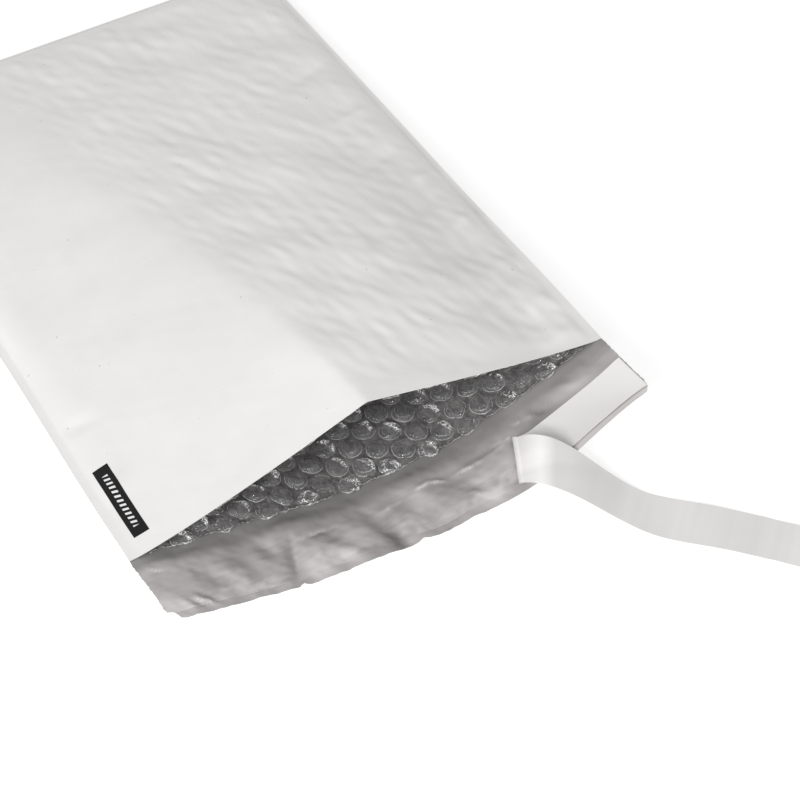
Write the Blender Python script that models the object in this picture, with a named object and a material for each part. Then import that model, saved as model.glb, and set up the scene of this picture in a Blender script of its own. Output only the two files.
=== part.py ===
"""Poly bubble mailer, lying open with its release liner half peeled off the flap.

One film is folded at the closed end and sealed along both sides, and its back panel runs on
past the mouth as the closing flap.  A bubble sheet lines it.  A band of adhesive crosses the
flap, and a paper liner covers what is left of it.  Metres, +Z up, the mouth towards -Y, the
origin under the middle of the back panel, which lies on the table.
"""
import math

import bmesh
import bpy
from mathutils import Vector
from mathutils.bvhtree import BVHTree

# Flat sizes of the mailer
MAILER_WIDTH = 0.216
BODY_LENGTH = 0.305
FLAP_LENGTH = 0.0355
FLAP_CORNER_RADIUS = 0.006
FILM_THICKNESS = 0.0003
SEAM_MARGIN = 0.003
END_FOLD = 0.0015
CONTACT_GAP = 0.0003

# How the open mouth stands: heights above the table
CORNER_HEIGHT_LEFT = 0.0194
CORNER_HEIGHT_RIGHT = 0.0248
RIDGE_HEIGHT = 0.050
RIDGE_OFFSET = -0.0035
RIDGE_DRIFT = -0.30
RIDGE_DRIFT_START = 0.140
RIDGE_DRIFT_LENGTH = 0.200
RIDGE_FADE_POWER = 1.1
RIDGE_RADIUS = 0.0006
RIDGE_SOFTENING = 0.055
PANEL_POWER_LEFT = 1.25
PANEL_POWER_RIGHT = 1.15
PANEL_POWER_DEPTH = 0.080

# How the closed end lies: half the pack's thickness is the height of its edge
END_EDGE_HEIGHT = 0.0045
PUFF_HEIGHT = 0.0045
PUFF_REACH = 0.016
PUFF_FULL_DEPTH = 0.120

# Where the back panel leaves the table beside the mouth's middle
REST_LEFT = 0.012
REST_RIGHT = 0.034
REST_POWER = 1.1
REST_BLEND_DEPTH = 0.200

# How the flap's outer edge curls up from the table
FLAP_CORNER_LEFT = 0.0245
FLAP_CORNER_RIGHT = 0.0277
FLAP_REST_LEFT = 0.025
FLAP_REST_RIGHT = 0.030
FLAP_POWER_LEFT = 1.05
FLAP_POWER_RIGHT = 1.55
FLAP_EDGE_LIFT = 0.001
FLAP_WAVE_OFFSET = -0.024
FLAP_WAVE_HEIGHT = 0.0044
FLAP_WAVE_SPREAD = 0.015
FLAP_DISH = 0.0045
FLAP_DISH_START = 0.052
FLAP_DISH_RUN = 0.014
FLAP_DISH_END_RUN = 0.018

# Bubble sheet
BUBBLE_PITCH = 0.0108
BUBBLE_HEIGHT = 0.0035
SHEET_BASE = 0.0004
SHEET_RUN = 0.0003
SHEET_MOUTH_INSET = 0.0006
SHEET_SIDE_INSET = 0.005
SHEET_END_INSET = 0.008

# Adhesive band and release liner
BAND_INSET = 0.0132
BAND_WIDTH = 0.019
BAND_THICKNESS = 0.0002
LINER_THICKNESS = 0.00025
LINER_GAP = 0.0005
LINER_LENGTH = 0.2065
LINER_END_INSET = 0.0008
LINER_STUCK_LENGTH = 0.0510
LINER_FOLD_SKEW = math.radians(24.6)
LINER_FOLD_RADIUS = 0.0012
LINER_RISE_SLOPE = 0.85
LINER_TWIST = 0.22
LINER_DROP_LENGTH = 0.057
LINER_CLEARANCE = 0.0008
LINER_EDGE_SLOPE = 1.2
LINER_SWAY = 0.0034
LINER_SWAY_LENGTH = 0.100
LINER_WAVE_HEIGHT = 0.0012
LINER_WAVE_LENGTH = 0.046

# Printed bar on the front panel
BAR_WIDTH = 0.0066
BAR_LENGTH = 0.0365
BAR_MOUTH_DISTANCE = 0.0085
BAR_SEAM_DISTANCE = 0.0062
BAR_THICKNESS = 0.0002

# Fineness of the meshes
PANEL_COLUMNS = 12
PANEL_ROWS = 14
FLAP_ROWS_INSIDE = 2
ARC_SAMPLES = 80
CORNER_FOLLOW = 13
LINER_STUCK_ROWS = 24
LINER_FOLD_ROWS = 6
LINER_RISE_ROWS = 14
LINER_FLOOR_ROWS = 9
LINER_COLUMNS = 4

HALF_WIDTH = MAILER_WIDTH / 2
MOUTH_Y = -BODY_LENGTH / 2
LATTICE_STEP = BUBBLE_PITCH / math.sqrt(3)
SHEET_COLUMNS = int((MAILER_WIDTH - 2 * (SEAM_MARGIN + SHEET_SIDE_INSET)) / LATTICE_STEP)
SHEET_HALF_WIDTH = SHEET_COLUMNS * LATTICE_STEP / 2
SHEET_ROWS = int((BODY_LENGTH - END_FOLD - SHEET_END_INSET - SHEET_MOUTH_INSET) / (BUBBLE_PITCH / 2))
SHEET_INNER_END = SHEET_MOUTH_INSET + SHEET_ROWS * BUBBLE_PITCH / 2
SHEET_OUTER_END = SHEET_INNER_END + SHEET_BASE
INNER_SIDE = 1 - SEAM_MARGIN / HALF_WIDTH
SHEET_SIDE = SHEET_HALF_WIDTH / HALF_WIDTH


def clamp(value, low=0.0, high=1.0):
    return max(low, min(high, value))


def ease(share):
    share = clamp(share)
    return share * share * (3 - 2 * share)


def swell(distance):
    """Rise of a puffed edge: 0 on the seam, 1 from PUFF_REACH on."""
    return 1 - (1 - clamp(distance / PUFF_REACH)) ** 3


# Heights of the film, by side (-1 at the left seam to 1 at the right) and depth from the mouth

def seam_height(side, depth):
    share = clamp(depth / BODY_LENGTH)
    left = CORNER_HEIGHT_LEFT + (END_EDGE_HEIGHT - CORNER_HEIGHT_LEFT) * share
    right = CORNER_HEIGHT_RIGHT + (END_EDGE_HEIGHT - CORNER_HEIGHT_RIGHT) * share
    return left + (right - left) * (side + 1) / 2


def ridge_side(depth):
    """Side of the ridge, which drifts to the left more and more on its way in."""
    depth = clamp(depth, 0, RIDGE_DRIFT_LENGTH)
    return (RIDGE_OFFSET + RIDGE_DRIFT * depth * depth / (depth + RIDGE_DRIFT_START)) / HALF_WIDTH


def tent(side, depth):
    """Front panel's section: 1 on the ridge, 0 at both seams, sharp at the mouth."""
    ridge = ridge_side(depth)
    soft = RIDGE_RADIUS + RIDGE_SOFTENING * depth
    distance = abs(side - ridge) * HALF_WIDTH
    reach = (INNER_SIDE + (ridge if side < ridge else -ridge)) * HALF_WIDTH
    fall = (math.hypot(distance, soft) - soft) / (math.hypot(reach, soft) - soft)
    mouth_power = PANEL_POWER_LEFT if side < ridge else PANEL_POWER_RIGHT
    power = mouth_power + (1 - mouth_power) * ease(depth / PANEL_POWER_DEPTH)
    return clamp(1 - fall) ** power


def side_distance(side):
    return max(0.0, (INNER_SIDE - abs(side)) * HALF_WIDTH)


def end_swell(depth):
    return swell(max(0.0, BODY_LENGTH - END_FOLD - depth))


def front_height(side, depth):
    """Outer face of the front panel."""
    mouth_lift = RIDGE_HEIGHT - FILM_THICKNESS - seam_height(ridge_side(0), 0)
    lift = mouth_lift * clamp(1 - depth / BODY_LENGTH) ** RIDGE_FADE_POWER
    puff = PUFF_HEIGHT * ease(depth / PUFF_FULL_DEPTH) * swell(side_distance(side))
    raised = (lift * tent(side, depth) + puff) * end_swell(depth)
    return seam_height(side, depth) + FILM_THICKNESS + raised


def back_height(side, depth):
    """Outer face of the back panel, on the table in its middle."""
    rest = REST_LEFT if side < 0 else REST_RIGHT
    reach = INNER_SIDE * HALF_WIDTH - rest
    open_fall = 1 - clamp((abs(side) * HALF_WIDTH - rest) / reach) ** REST_POWER
    flat = ease(depth / REST_BLEND_DEPTH)
    fall = ((1 - flat) * open_fall + flat * swell(side_distance(side))) * end_swell(depth)
    return (seam_height(side, depth) - FILM_THICKNESS) * (1 - fall)


def flap_edge_height(side):
    """Outer face of the film along the flap's outer edge."""
    across = side * HALF_WIDTH
    if side < 0:
        share = (-across - FLAP_REST_LEFT) / (HALF_WIDTH - FLAP_REST_LEFT)
        curl = FLAP_CORNER_LEFT * clamp(share) ** FLAP_POWER_LEFT
    else:
        share = (across - FLAP_REST_RIGHT) / (HALF_WIDTH - FLAP_REST_RIGHT)
        curl = FLAP_CORNER_RIGHT * ease(share) ** FLAP_POWER_RIGHT
    wave = FLAP_WAVE_HEIGHT * math.exp(-((across - FLAP_WAVE_OFFSET) / FLAP_WAVE_SPREAD) ** 2)
    return FLAP_EDGE_LIFT + curl + wave


def flap_dish(side):
    """How far the flap sags between the mouth and its outer edge, right of the liner's fold."""
    across = side * HALF_WIDTH
    end = clamp((across - HALF_WIDTH + FLAP_DISH_END_RUN) / FLAP_DISH_END_RUN)
    return FLAP_DISH * ease((across - FLAP_DISH_START) / FLAP_DISH_RUN) * (1 - end ** 2)


def flap_height(side, depth):
    share = -depth / FLAP_LENGTH
    straight = (1 - share) * back_height(side, 0) + share * flap_edge_height(side)
    return straight - 4 * share * (1 - share) * flap_dish(side)


def half_chord(depth):
    """Half the distance between the seams that leaves the front panel its flat width."""
    steps = [2 * i / ARC_SAMPLES - 1 for i in range(ARC_SAMPLES + 1)]
    heights = [front_height(side, depth) for side in steps]
    low, high = 0.8 * HALF_WIDTH, HALF_WIDTH
    for _ in range(40):
        middle = (low + high) / 2
        run = 2 * middle / ARC_SAMPLES
        length = sum(math.hypot(run, b - a) for a, b in zip(heights, heights[1:]))
        low, high = (middle, high) if length < MAILER_WIDTH else (low, middle)
    return (low + high) / 2


def corner_inset(depth):
    """How far the flap's round outer corners draw its sides in."""
    reach = clamp(FLAP_CORNER_RADIUS - FLAP_LENGTH - depth, 0.0, FLAP_CORNER_RADIUS)
    return FLAP_CORNER_RADIUS - math.sqrt(FLAP_CORNER_RADIUS ** 2 - reach ** 2)


# Mesh helpers

def add_triangle(bm, *corners):
    """Adds a face, or removes it where two sheets that meet would share it."""
    shared = bm.faces.get(corners)
    if shared:
        bm.faces.remove(shared)
    else:
        bm.faces.new(corners)


def add_quad(bm, a, b, c, d):
    add_triangle(bm, a, b, c)
    add_triangle(bm, a, c, d)


def zip_chains(bm, one, other):
    """Fills the strip between two chains of (place along, vertex)."""
    i = j = 0
    while i < len(one) - 1 or j < len(other) - 1:
        step_one = j == len(other) - 1 or (i < len(one) - 1 and one[i + 1][0] <= other[j + 1][0])
        third = one[i + 1] if step_one else other[j + 1]
        bm.faces.new((one[i][1], other[j][1], third[1]))
        i, j = (i + 1, j) if step_one else (i, j + 1)


def sheet_faces(bm, rows):
    for near, far in zip(rows, rows[1:]):
        for j in range(len(near) - 1):
            add_quad(bm, near[j], near[j + 1], far[j + 1], far[j])


def plate(bm, below, above):
    """Closed plate between two grids of points of the same shape."""
    grids = [[[bm.verts.new(point) for point in row] for row in grid] for grid in (below, above)]
    for grid in grids:
        sheet_faces(bm, grid)
    rim = [grid[0] + [row[-1] for row in grid[1:]] + grid[-1][-2::-1] + [row[0] for row in grid[-2:0:-1]]
           for grid in grids]
    count = len(rim[0])
    for i in range(count):
        add_quad(bm, rim[0][i], rim[0][(i + 1) % count], rim[1][(i + 1) % count], rim[1][i])


def finish(name, bm, material):
    bmesh.ops.delete(bm, geom=[edge for edge in bm.edges if not edge.link_faces], context="EDGES")
    bmesh.ops.delete(bm, geom=[vert for vert in bm.verts if not vert.link_faces], context="VERTS")
    bmesh.ops.recalc_face_normals(bm, faces=bm.faces[:])
    mesh = bpy.data.meshes.new(name)
    bm.to_mesh(mesh)
    bm.free()
    mesh.materials.append(material)
    mesh.shade_smooth()
    mesh.set_sharp_from_angle(angle=math.radians(40))
    obj = bpy.data.objects.new(name, mesh)
    bpy.context.scene.collection.objects.link(obj)
    return obj


def make_material(name, colour, roughness, alpha=1.0):
    material = bpy.data.materials.new(name)
    material.use_nodes = True
    surface = material.node_tree.nodes["Principled BSDF"]
    surface.inputs["Base Color"].default_value = (*colour, 1)
    surface.inputs["Roughness"].default_value = roughness
    surface.inputs["Metallic"].default_value = 0.0
    surface.inputs["Alpha"].default_value = alpha
    return material


def tree_of(rows):
    """Search tree of a grid of points, split along the same diagonals as the film."""
    width = len(rows[0])
    points = [point for row in rows for point in row]
    faces = []
    for k in range(len(rows) - 1):
        for j in range(width - 1):
            a, b, c, d = k * width + j, k * width + j + 1, (k + 1) * width + j + 1, (k + 1) * width + j
            faces += [(a, b, c), (a, c, d)]
    return BVHTree.FromPolygons(points, faces)


def height_on(tree, x, y, missing=None):
    hit = tree.ray_cast(Vector((x, y, 1)), Vector((0, 0, -1)))[0]
    return missing if hit is None else hit.z


def moved(rows, up):
    return [[point + Vector((0, 0, up)) for point in row] for row in rows]


# Grid of the film: columns follow the ridge, rows fall on the edges of what the film carries

def column_sides(depth):
    sides = [SHEET_SIDE * (2 * i / PANEL_COLUMNS - 1) for i in range(PANEL_COLUMNS + 1)]
    inner = [side + ridge_side(depth) * (1 - (side / SHEET_SIDE) ** 2) for side in sides]
    return [-1, -INNER_SIDE] + inner + [INNER_SIDE, 1]


def panel_depths():
    span = SHEET_OUTER_END - SHEET_MOUTH_INSET
    inside = [SHEET_MOUTH_INSET + span * i / PANEL_ROWS for i in range(PANEL_ROWS + 1)]
    return [0.0] + inside + [BODY_LENGTH - END_FOLD, BODY_LENGTH]


def flap_depths():
    band = [BAND_INSET + BAND_WIDTH * i / FLAP_ROWS_INSIDE for i in range(FLAP_ROWS_INSIDE + 1)]
    rounding = [FLAP_LENGTH - FLAP_CORNER_RADIUS * share for share in (0.3, 0.08)]
    inside = [BAND_INSET / 2] + band + rounding
    return [0.0] + [-depth for depth in sorted(inside)] + [-FLAP_LENGTH]


def grid_points(depths, height):
    """Rows of points on the film; a round corner moves the columns beside it only."""
    rows = []
    for depth in depths:
        half, inset = half_chord(max(depth, 0)), corner_inset(depth)
        sides = column_sides(max(depth, 0))
        across = [side * half - inset * side ** CORNER_FOLLOW for side in sides]
        rows.append([Vector((x, MOUTH_Y + depth, height(side, depth))) for x, side in zip(across, sides)])
    return rows


def make_outer_film(front, back, flap):
    """Front and back panel, sealed on three sides, and the flap, all one film."""
    bm = bmesh.new()
    last = len(front[0]) - 1
    end = len(front) - 1
    seal = Vector((0, 0, FILM_THICKNESS))
    front_out = [[bm.verts.new(point) for point in row] for row in front]
    back_out = [[bm.verts.new(point) for point in row] for row in back]
    front_in, back_in = [], []
    for k in range(end):
        shared = {j: bm.verts.new(back[k][j] + seal) for j in (1, last - 1)}
        middle = range(2, last - 1)
        back_in.append([shared[1]] + [bm.verts.new(back[k][j] + seal) for j in middle] + [shared[last - 1]])
        if k < end - 1:
            front_in.append([shared[1]] + [bm.verts.new(front[k][j] - seal) for j in middle]
                            + [shared[last - 1]])
    front_in.append(back_in[-1])
    for rows in (front_out, back_out, front_in, back_in):
        sheet_faces(bm, rows)
    # Closed end
    for j in range(last):
        add_quad(bm, front_out[end][j], front_out[end][j + 1], back_out[end][j + 1], back_out[end][j])
    # Cut edge of the front panel
    flap_top = [[bm.verts.new(point + seal) for point in row] for row in flap[1:]]
    corner = [bm.verts.new(back[0][j] + seal) for j in (0, last)]
    top_row = [corner[0]] + back_in[0] + [corner[1]]
    rim = [corner[0]] + front_in[0] + [corner[1]]
    for j in range(last):
        add_quad(bm, front_out[0][j], front_out[0][j + 1], rim[j + 1], rim[j])
    # Side seams
    for j, middle in ((0, corner[0]), (last, corner[1])):
        bm.faces.new((front_out[0][j], front_out[1][j], middle))
        bm.faces.new((front_out[1][j], back_out[1][j], middle))
        bm.faces.new((back_out[1][j], back_out[0][j], middle))
        for k in range(1, end):
            add_quad(bm, front_out[k][j], front_out[k + 1][j], back_out[k + 1][j], back_out[k][j])
    # Flap
    top = [top_row] + flap_top
    bottom = [back_out[0]] + [[bm.verts.new(point) for point in row] for row in flap[1:]]
    sheet_faces(bm, top)
    sheet_faces(bm, bottom)
    for j in (0, last):
        for k in range(len(top) - 1):
            add_quad(bm, top[k][j], top[k + 1][j], bottom[k + 1][j], bottom[k][j])
    for j in range(last):
        add_quad(bm, top[-1][j], top[-1][j + 1], bottom[-1][j + 1], bottom[-1][j])
    return finish("outer_film", bm, make_material("white_film", (0.84, 0.84, 0.83), 0.45))


def lattice_row(k):
    """Places across the sheet, in half lattice steps, of the points in row k."""
    whole = list(range(k % 2, 2 * SHEET_COLUMNS + 1, 2))
    return whole if k % 2 == 0 else [0] + whole + [2 * SHEET_COLUMNS]


def is_bubble_centre(k, step):
    first = (SHEET_COLUMNS + 2) % 6 + 3 * (k % 2)
    return (step - first) % 6 == 0 and 0 < step < 2 * SHEET_COLUMNS


def make_bubble_lining(front, back):
    """One bubble sheet, folded at the closed end, with its bubbles facing inwards."""
    bm = bmesh.new()
    front_tree = tree_of(moved(front, -FILM_THICKNESS - CONTACT_GAP))
    back_tree = tree_of(moved(back, FILM_THICKNESS + CONTACT_GAP))
    half_run = SHEET_BASE + SHEET_RUN / 2

    def relief(k, step, facing_down):
        depth = SHEET_MOUTH_INSET + k * BUBBLE_PITCH / 2
        x = (step * LATTICE_STEP / 2 - SHEET_HALF_WIDTH) / HALF_WIDTH * half_chord_at[k]
        y = MOUTH_Y + depth
        upper, lower = height_on(front_tree, x, y), height_on(back_tree, x, y)
        room = (upper - lower) / 2 - half_run
        whole = is_bubble_centre(k, step) and 0 < k < SHEET_ROWS
        bump = clamp(room, 0, BUBBLE_HEIGHT) if whole else 0
        return Vector((x, y, upper - SHEET_BASE - bump if facing_down else lower + SHEET_BASE + bump))

    half_chord_at = [half_chord(SHEET_MOUTH_INSET + k * BUBBLE_PITCH / 2) for k in range(SHEET_ROWS + 1)]
    outer, inner = [], []
    inner_rows = [(k, True) for k in range(SHEET_ROWS + 1)] + [(k, False) for k in range(SHEET_ROWS, -1, -1)]
    for place, (k, facing_down) in enumerate(inner_rows):
        row = [(step, bm.verts.new(relief(k, step, facing_down))) for step in lattice_row(k)]
        inner.append((place, row))
    depths = panel_depths()
    outer_rows = [k for k, depth in enumerate(depths)
                  if SHEET_MOUTH_INSET - 1e-9 <= depth <= SHEET_OUTER_END + 1e-9]
    scale = SHEET_ROWS / (SHEET_OUTER_END - SHEET_MOUTH_INSET)
    for facing_down, rows, up in ((True, front, -1), (False, back, 1)):
        order = outer_rows if facing_down else outer_rows[::-1]
        for k in order:
            offset = Vector((0, 0, up * (FILM_THICKNESS + CONTACT_GAP)))
            row = [bm.verts.new(point + offset) for point in rows[k][2:-2]]
            place = (depths[k] - SHEET_MOUTH_INSET) * scale
            outer.append((place if facing_down else 2 * SHEET_ROWS + 1 - place, row))
    for (_, near), (_, far) in zip(inner, inner[1:]):
        zip_chains(bm, near, far)
    sheet_faces(bm, [row for _, row in outer])
    for side in (0, -1):
        zip_chains(bm, [(place, row[side]) for place, row in outer],
                   [(place, row[side][1]) for place, row in inner])
    for number in (0, -1):
        row = outer[number][1]
        across = [(2 * SHEET_COLUMNS * (vert.co.x - row[0].co.x) / (row[-1].co.x - row[0].co.x), vert)
                  for vert in row]
        zip_chains(bm, across, inner[number][1])
    return finish("bubble_lining", bm, make_material("clear_bubble_film", (0.30, 0.30, 0.31), 0.2))


def band_rows(flap):
    """Rows of the flap's grid that the adhesive band covers."""
    depths = flap_depths()
    return [row for depth, row in zip(depths, flap)
            if BAND_INSET - 1e-9 <= -depth <= BAND_INSET + BAND_WIDTH + 1e-9]


def make_adhesive_strip(flap):
    bm = bmesh.new()
    below = moved(band_rows(flap), FILM_THICKNESS + CONTACT_GAP)
    plate(bm, below, moved(below, BAND_THICKNESS))
    return finish("adhesive_strip", bm, make_material("adhesive", (0.42, 0.42, 0.42), 0.12))


def liner_lengths():
    """Distances from the stuck end at which the liner's mesh has a row, at mid width."""
    fold = math.pi * LINER_FOLD_RADIUS / math.cos(LINER_FOLD_SKEW)
    start = LINER_STUCK_LENGTH + fold
    floor = start + LINER_DROP_LENGTH
    spans = ((0, LINER_STUCK_LENGTH, LINER_STUCK_ROWS), (LINER_STUCK_LENGTH, start, LINER_FOLD_ROWS),
             (start, floor, LINER_RISE_ROWS), (floor, LINER_LENGTH, LINER_FLOOR_ROWS))
    lengths = [low + (high - low) * i / count for low, high, count in spans for i in range(count)]
    return sorted(lengths + [SEAM_MARGIN - LINER_END_INSET, LINER_LENGTH])


def make_release_liner(flap):
    """Paper strip: stuck at the right, folded back on itself askew, and lying on the table."""
    bm = bmesh.new()
    stack = FILM_THICKNESS + CONTACT_GAP + BAND_THICKNESS + LINER_GAP + LINER_THICKNESS / 2
    stuck_tree = tree_of(moved(flap, stack))
    right_edge = half_chord(0) - LINER_END_INSET
    flap_end = flap[-1][0].y + CONTACT_GAP
    sine, cosine = math.sin(LINER_FOLD_SKEW), math.cos(LINER_FOLD_SKEW)
    across_fold = Vector((-cosine, sine, 0))
    along_strip = Vector((math.cos(2 * LINER_FOLD_SKEW), -math.sin(2 * LINER_FOLD_SKEW), 0))
    across_strip = Vector((-along_strip.y, along_strip.x, 0))
    half_turn = math.pi * LINER_FOLD_RADIUS
    floor_height = LINER_THICKNESS / 2

    def past_fold(length, across):
        return (length - LINER_STUCK_LENGTH) * cosine - (across - BAND_WIDTH / 2) * sine

    def flat_place(length, across):
        return Vector((right_edge - length, MOUTH_Y - BAND_INSET - across, 0))

    def stuck_height(place):
        return height_on(stuck_tree, min(place.x, right_edge), place.y, floor_height)

    def point(length, across):
        skew = (across - BAND_WIDTH / 2) * sine / cosine
        if length <= LINER_STUCK_LENGTH:
            length += skew * length / LINER_STUCK_LENGTH
        else:
            remain = (LINER_LENGTH - length) / (LINER_LENGTH - LINER_STUCK_LENGTH)
            length += skew * clamp(3 * remain - 2)
        past = past_fold(length, across)
        place = flat_place(length, across)
        if past <= 0:
            return place + Vector((0, 0, stuck_height(place)))
        fold_place = place - across_fold * past
        fold_height = stuck_height(fold_place)
        if past <= half_turn:
            turn = past / LINER_FOLD_RADIUS
            shift = across_fold * LINER_FOLD_RADIUS * math.sin(turn)
            return fold_place + shift + Vector((0, 0, fold_height + LINER_FOLD_RADIUS * (1 - math.cos(turn))))
        place = fold_place - across_fold * (past - half_turn)
        run = (past - half_turn) / cosine
        share = clamp(run / LINER_DROP_LENGTH)
        stay = 2 * share ** 3 - 3 * share ** 2 + 1
        slope = LINER_RISE_SLOPE + LINER_TWIST * (1 - 2 * across / BAND_WIDTH)
        rise = (share ** 3 - 2 * share ** 2 + share) * LINER_DROP_LENGTH * slope
        height = (fold_height + 2 * LINER_FOLD_RADIUS) * stay + rise + floor_height * (1 - stay)
        floor_run = max(0.0, run - LINER_DROP_LENGTH)
        height += LINER_WAVE_HEIGHT * math.sin(math.pi * floor_run / LINER_WAVE_LENGTH) ** 2
        place -= across_strip * LINER_SWAY * math.sin(math.pi * clamp(run / LINER_SWAY_LENGTH))
        below = height_on(stuck_tree, place.x, max(place.y, flap_end), 0)
        if below > 0:
            height = max(height, below + LINER_CLEARANCE - LINER_EDGE_SLOPE * max(0, flap_end - place.y))
        return place + Vector((0, 0, height))

    def thickened(length, across, side):
        nudge = BAND_WIDTH / 50
        run = point(length + nudge, across) - point(length - nudge, across)
        width = point(length, across + nudge) - point(length, across - nudge)
        return point(length, across) + side * LINER_THICKNESS / 2 * run.cross(width).normalized()

    widths = [BAND_WIDTH * i / LINER_COLUMNS for i in range(LINER_COLUMNS + 1)]
    below, above = ([[thickened(length, across, side) for across in widths] for length in liner_lengths()]
                    for side in (-1, 1))
    plate(bm, below, above)
    return finish("release_liner", bm, make_material("liner_paper", (0.85, 0.85, 0.83), 0.75))


def make_printed_bar(front):
    """Field of print beside the left seam, as a thin plate on the front panel."""
    bm = bmesh.new()
    tree = tree_of(moved(front, CONTACT_GAP))
    start, stop = BAR_MOUTH_DISTANCE, BAR_MOUTH_DISTANCE + BAR_LENGTH
    depths = [start] + [depth for depth in panel_depths() if start < depth < stop] + [stop]
    places = sorted({BAR_SEAM_DISTANCE, HALF_WIDTH - SHEET_HALF_WIDTH, BAR_SEAM_DISTANCE + BAR_WIDTH})
    places = [place for place in places if BAR_SEAM_DISTANCE <= place <= BAR_SEAM_DISTANCE + BAR_WIDTH]
    rows = []
    for depth in depths:
        half = half_chord(depth)
        across = [-half * (1 - place / HALF_WIDTH) for place in places]
        rows.append([Vector((x, MOUTH_Y + depth, height_on(tree, x, MOUTH_Y + depth))) for x in across])
    plate(bm, rows, moved(rows, BAR_THICKNESS))
    return finish("printed_bar", bm, make_material("black_print", (0.01, 0.01, 0.01), 0.4))


def build():
    for obj in list(bpy.data.objects):
        bpy.data.objects.remove(obj, do_unlink=True)
    front = grid_points(panel_depths(), front_height)
    back = grid_points(panel_depths(), back_height)
    flap = grid_points(flap_depths(), flap_height)
    make_outer_film(front, back, flap)
    make_bubble_lining(front, back)
    make_adhesive_strip(flap)
    make_release_liner(flap)
    make_printed_bar(front)


build()
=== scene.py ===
# %% [markdown]
# # A poly bubble mailer with its mouth open
#
# The mailer is one white film, folded at the closed end and welded along both sides. Its back
# panel runs on past the mouth as the closing flap, and a bubble sheet lines it. This file takes
# the plain solids of the part as a frame and dresses them: it lays fine meshes over them and
# gives each surface its finish. All lengths are metres, the table is at z = 0 and the mouth
# faces -Y.

# %% Load the frame
import math

import bpy
import numpy as np
from mathutils import Matrix, Vector


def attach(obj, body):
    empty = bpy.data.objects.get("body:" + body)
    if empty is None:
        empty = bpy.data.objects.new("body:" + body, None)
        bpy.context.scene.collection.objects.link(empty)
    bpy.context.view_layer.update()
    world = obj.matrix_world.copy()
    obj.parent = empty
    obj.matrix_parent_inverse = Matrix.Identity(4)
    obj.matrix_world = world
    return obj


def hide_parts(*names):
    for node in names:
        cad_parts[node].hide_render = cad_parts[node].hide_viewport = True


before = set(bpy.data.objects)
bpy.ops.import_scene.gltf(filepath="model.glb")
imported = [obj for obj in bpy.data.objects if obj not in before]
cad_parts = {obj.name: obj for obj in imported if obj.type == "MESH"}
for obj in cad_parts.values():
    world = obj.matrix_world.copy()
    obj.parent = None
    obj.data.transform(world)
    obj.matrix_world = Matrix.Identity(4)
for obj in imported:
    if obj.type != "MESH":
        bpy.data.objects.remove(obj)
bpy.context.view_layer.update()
print("nodes:", sorted(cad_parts))


def add_object(name, data):
    obj = bpy.data.objects.new(name, data)
    bpy.context.scene.collection.objects.link(obj)
    return obj


# %% [markdown]
# ## Camera
#
# The camera stands in front of the mouth, to its left, and looks down by about half a right
# angle. A long lens keeps the far edge of the pack nearly as wide as the near one. The place and
# the lens were fitted to the corners of the mailer, so they are plain numbers here. A camera
# looks along its own -Z, so its rotation is built from three axes: right, up and back.

# %% Camera
CAMERA_PLACE, CAMERA_LENS, CAMERA_SENSOR = (-0.22648, -0.55961, 0.60076), 87.08, 36
AZIMUTH, ELEVATION, ROLL = (math.radians(angle) for angle in (-30.232, 49.834, -0.104))
level = math.cos(ELEVATION)
back = Vector((math.sin(AZIMUTH) * level, -math.cos(AZIMUTH) * level, math.sin(ELEVATION)))
level_right = Vector((0, 0, 1)).cross(back).normalized()
level_up = back.cross(level_right)
right = math.cos(ROLL) * level_right + math.sin(ROLL) * level_up
up = back.cross(right)

camera_data = bpy.data.cameras.new("camera")
camera_data.sensor_width = CAMERA_SENSOR
camera_data.lens = CAMERA_LENS
camera = add_object("camera", camera_data)
camera.matrix_world = Matrix.Translation(CAMERA_PLACE) @ Matrix((right, up, back)).transposed().to_4x4()
bpy.context.scene.camera = camera
print("camera at", tuple(round(v, 3) for v in camera.matrix_world.translation))

# %% [markdown]
# ## Shader nodes as expressions
#
# A material is a graph of nodes. Linking them one by one is long to write and hard to read, so a
# small class wraps a node's output, and its operators add Math nodes: `1 - mask * 2` builds two
# of them. Everything else goes through one method, `node`, which takes the node's type, its
# settings and what its sockets get.

# %% Sockets with operators
class Signal:
    """Output of a shader node. Arithmetic on it adds Math nodes."""

    def __init__(self, finish, socket):
        self.finish = finish
        self.socket = socket

    def math(self, operation, *values):
        return self.finish.node("ShaderNodeMath", {"operation": operation}, dict(enumerate(values)))

    def __add__(self, other):
        return self.math("ADD", self, other)

    def __sub__(self, other):
        return self.math("SUBTRACT", self, other)

    def __rsub__(self, other):
        return self.math("SUBTRACT", other, self)

    def __mul__(self, other):
        return self.math("MULTIPLY", self, other)

    def __truediv__(self, other):
        return self.math("DIVIDE", self, other)

    def maximum(self, other):
        return self.math("MAXIMUM", self, other)

    def clamped(self):
        return self.math("MINIMUM", self.maximum(0.0), 1.0)

    def step(self, low, high):
        """0 below low, 1 above high and a straight ramp between them."""
        return ((self - low) / (high - low)).clamped()

    def between(self, low, high, soft):
        """1 from low to high, fading out over soft on both sides."""
        return self.step(low - soft, low) * (1 - self.step(high, high + soft))

    __radd__ = __add__
    __rmul__ = __mul__


print("signals ready")


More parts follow.
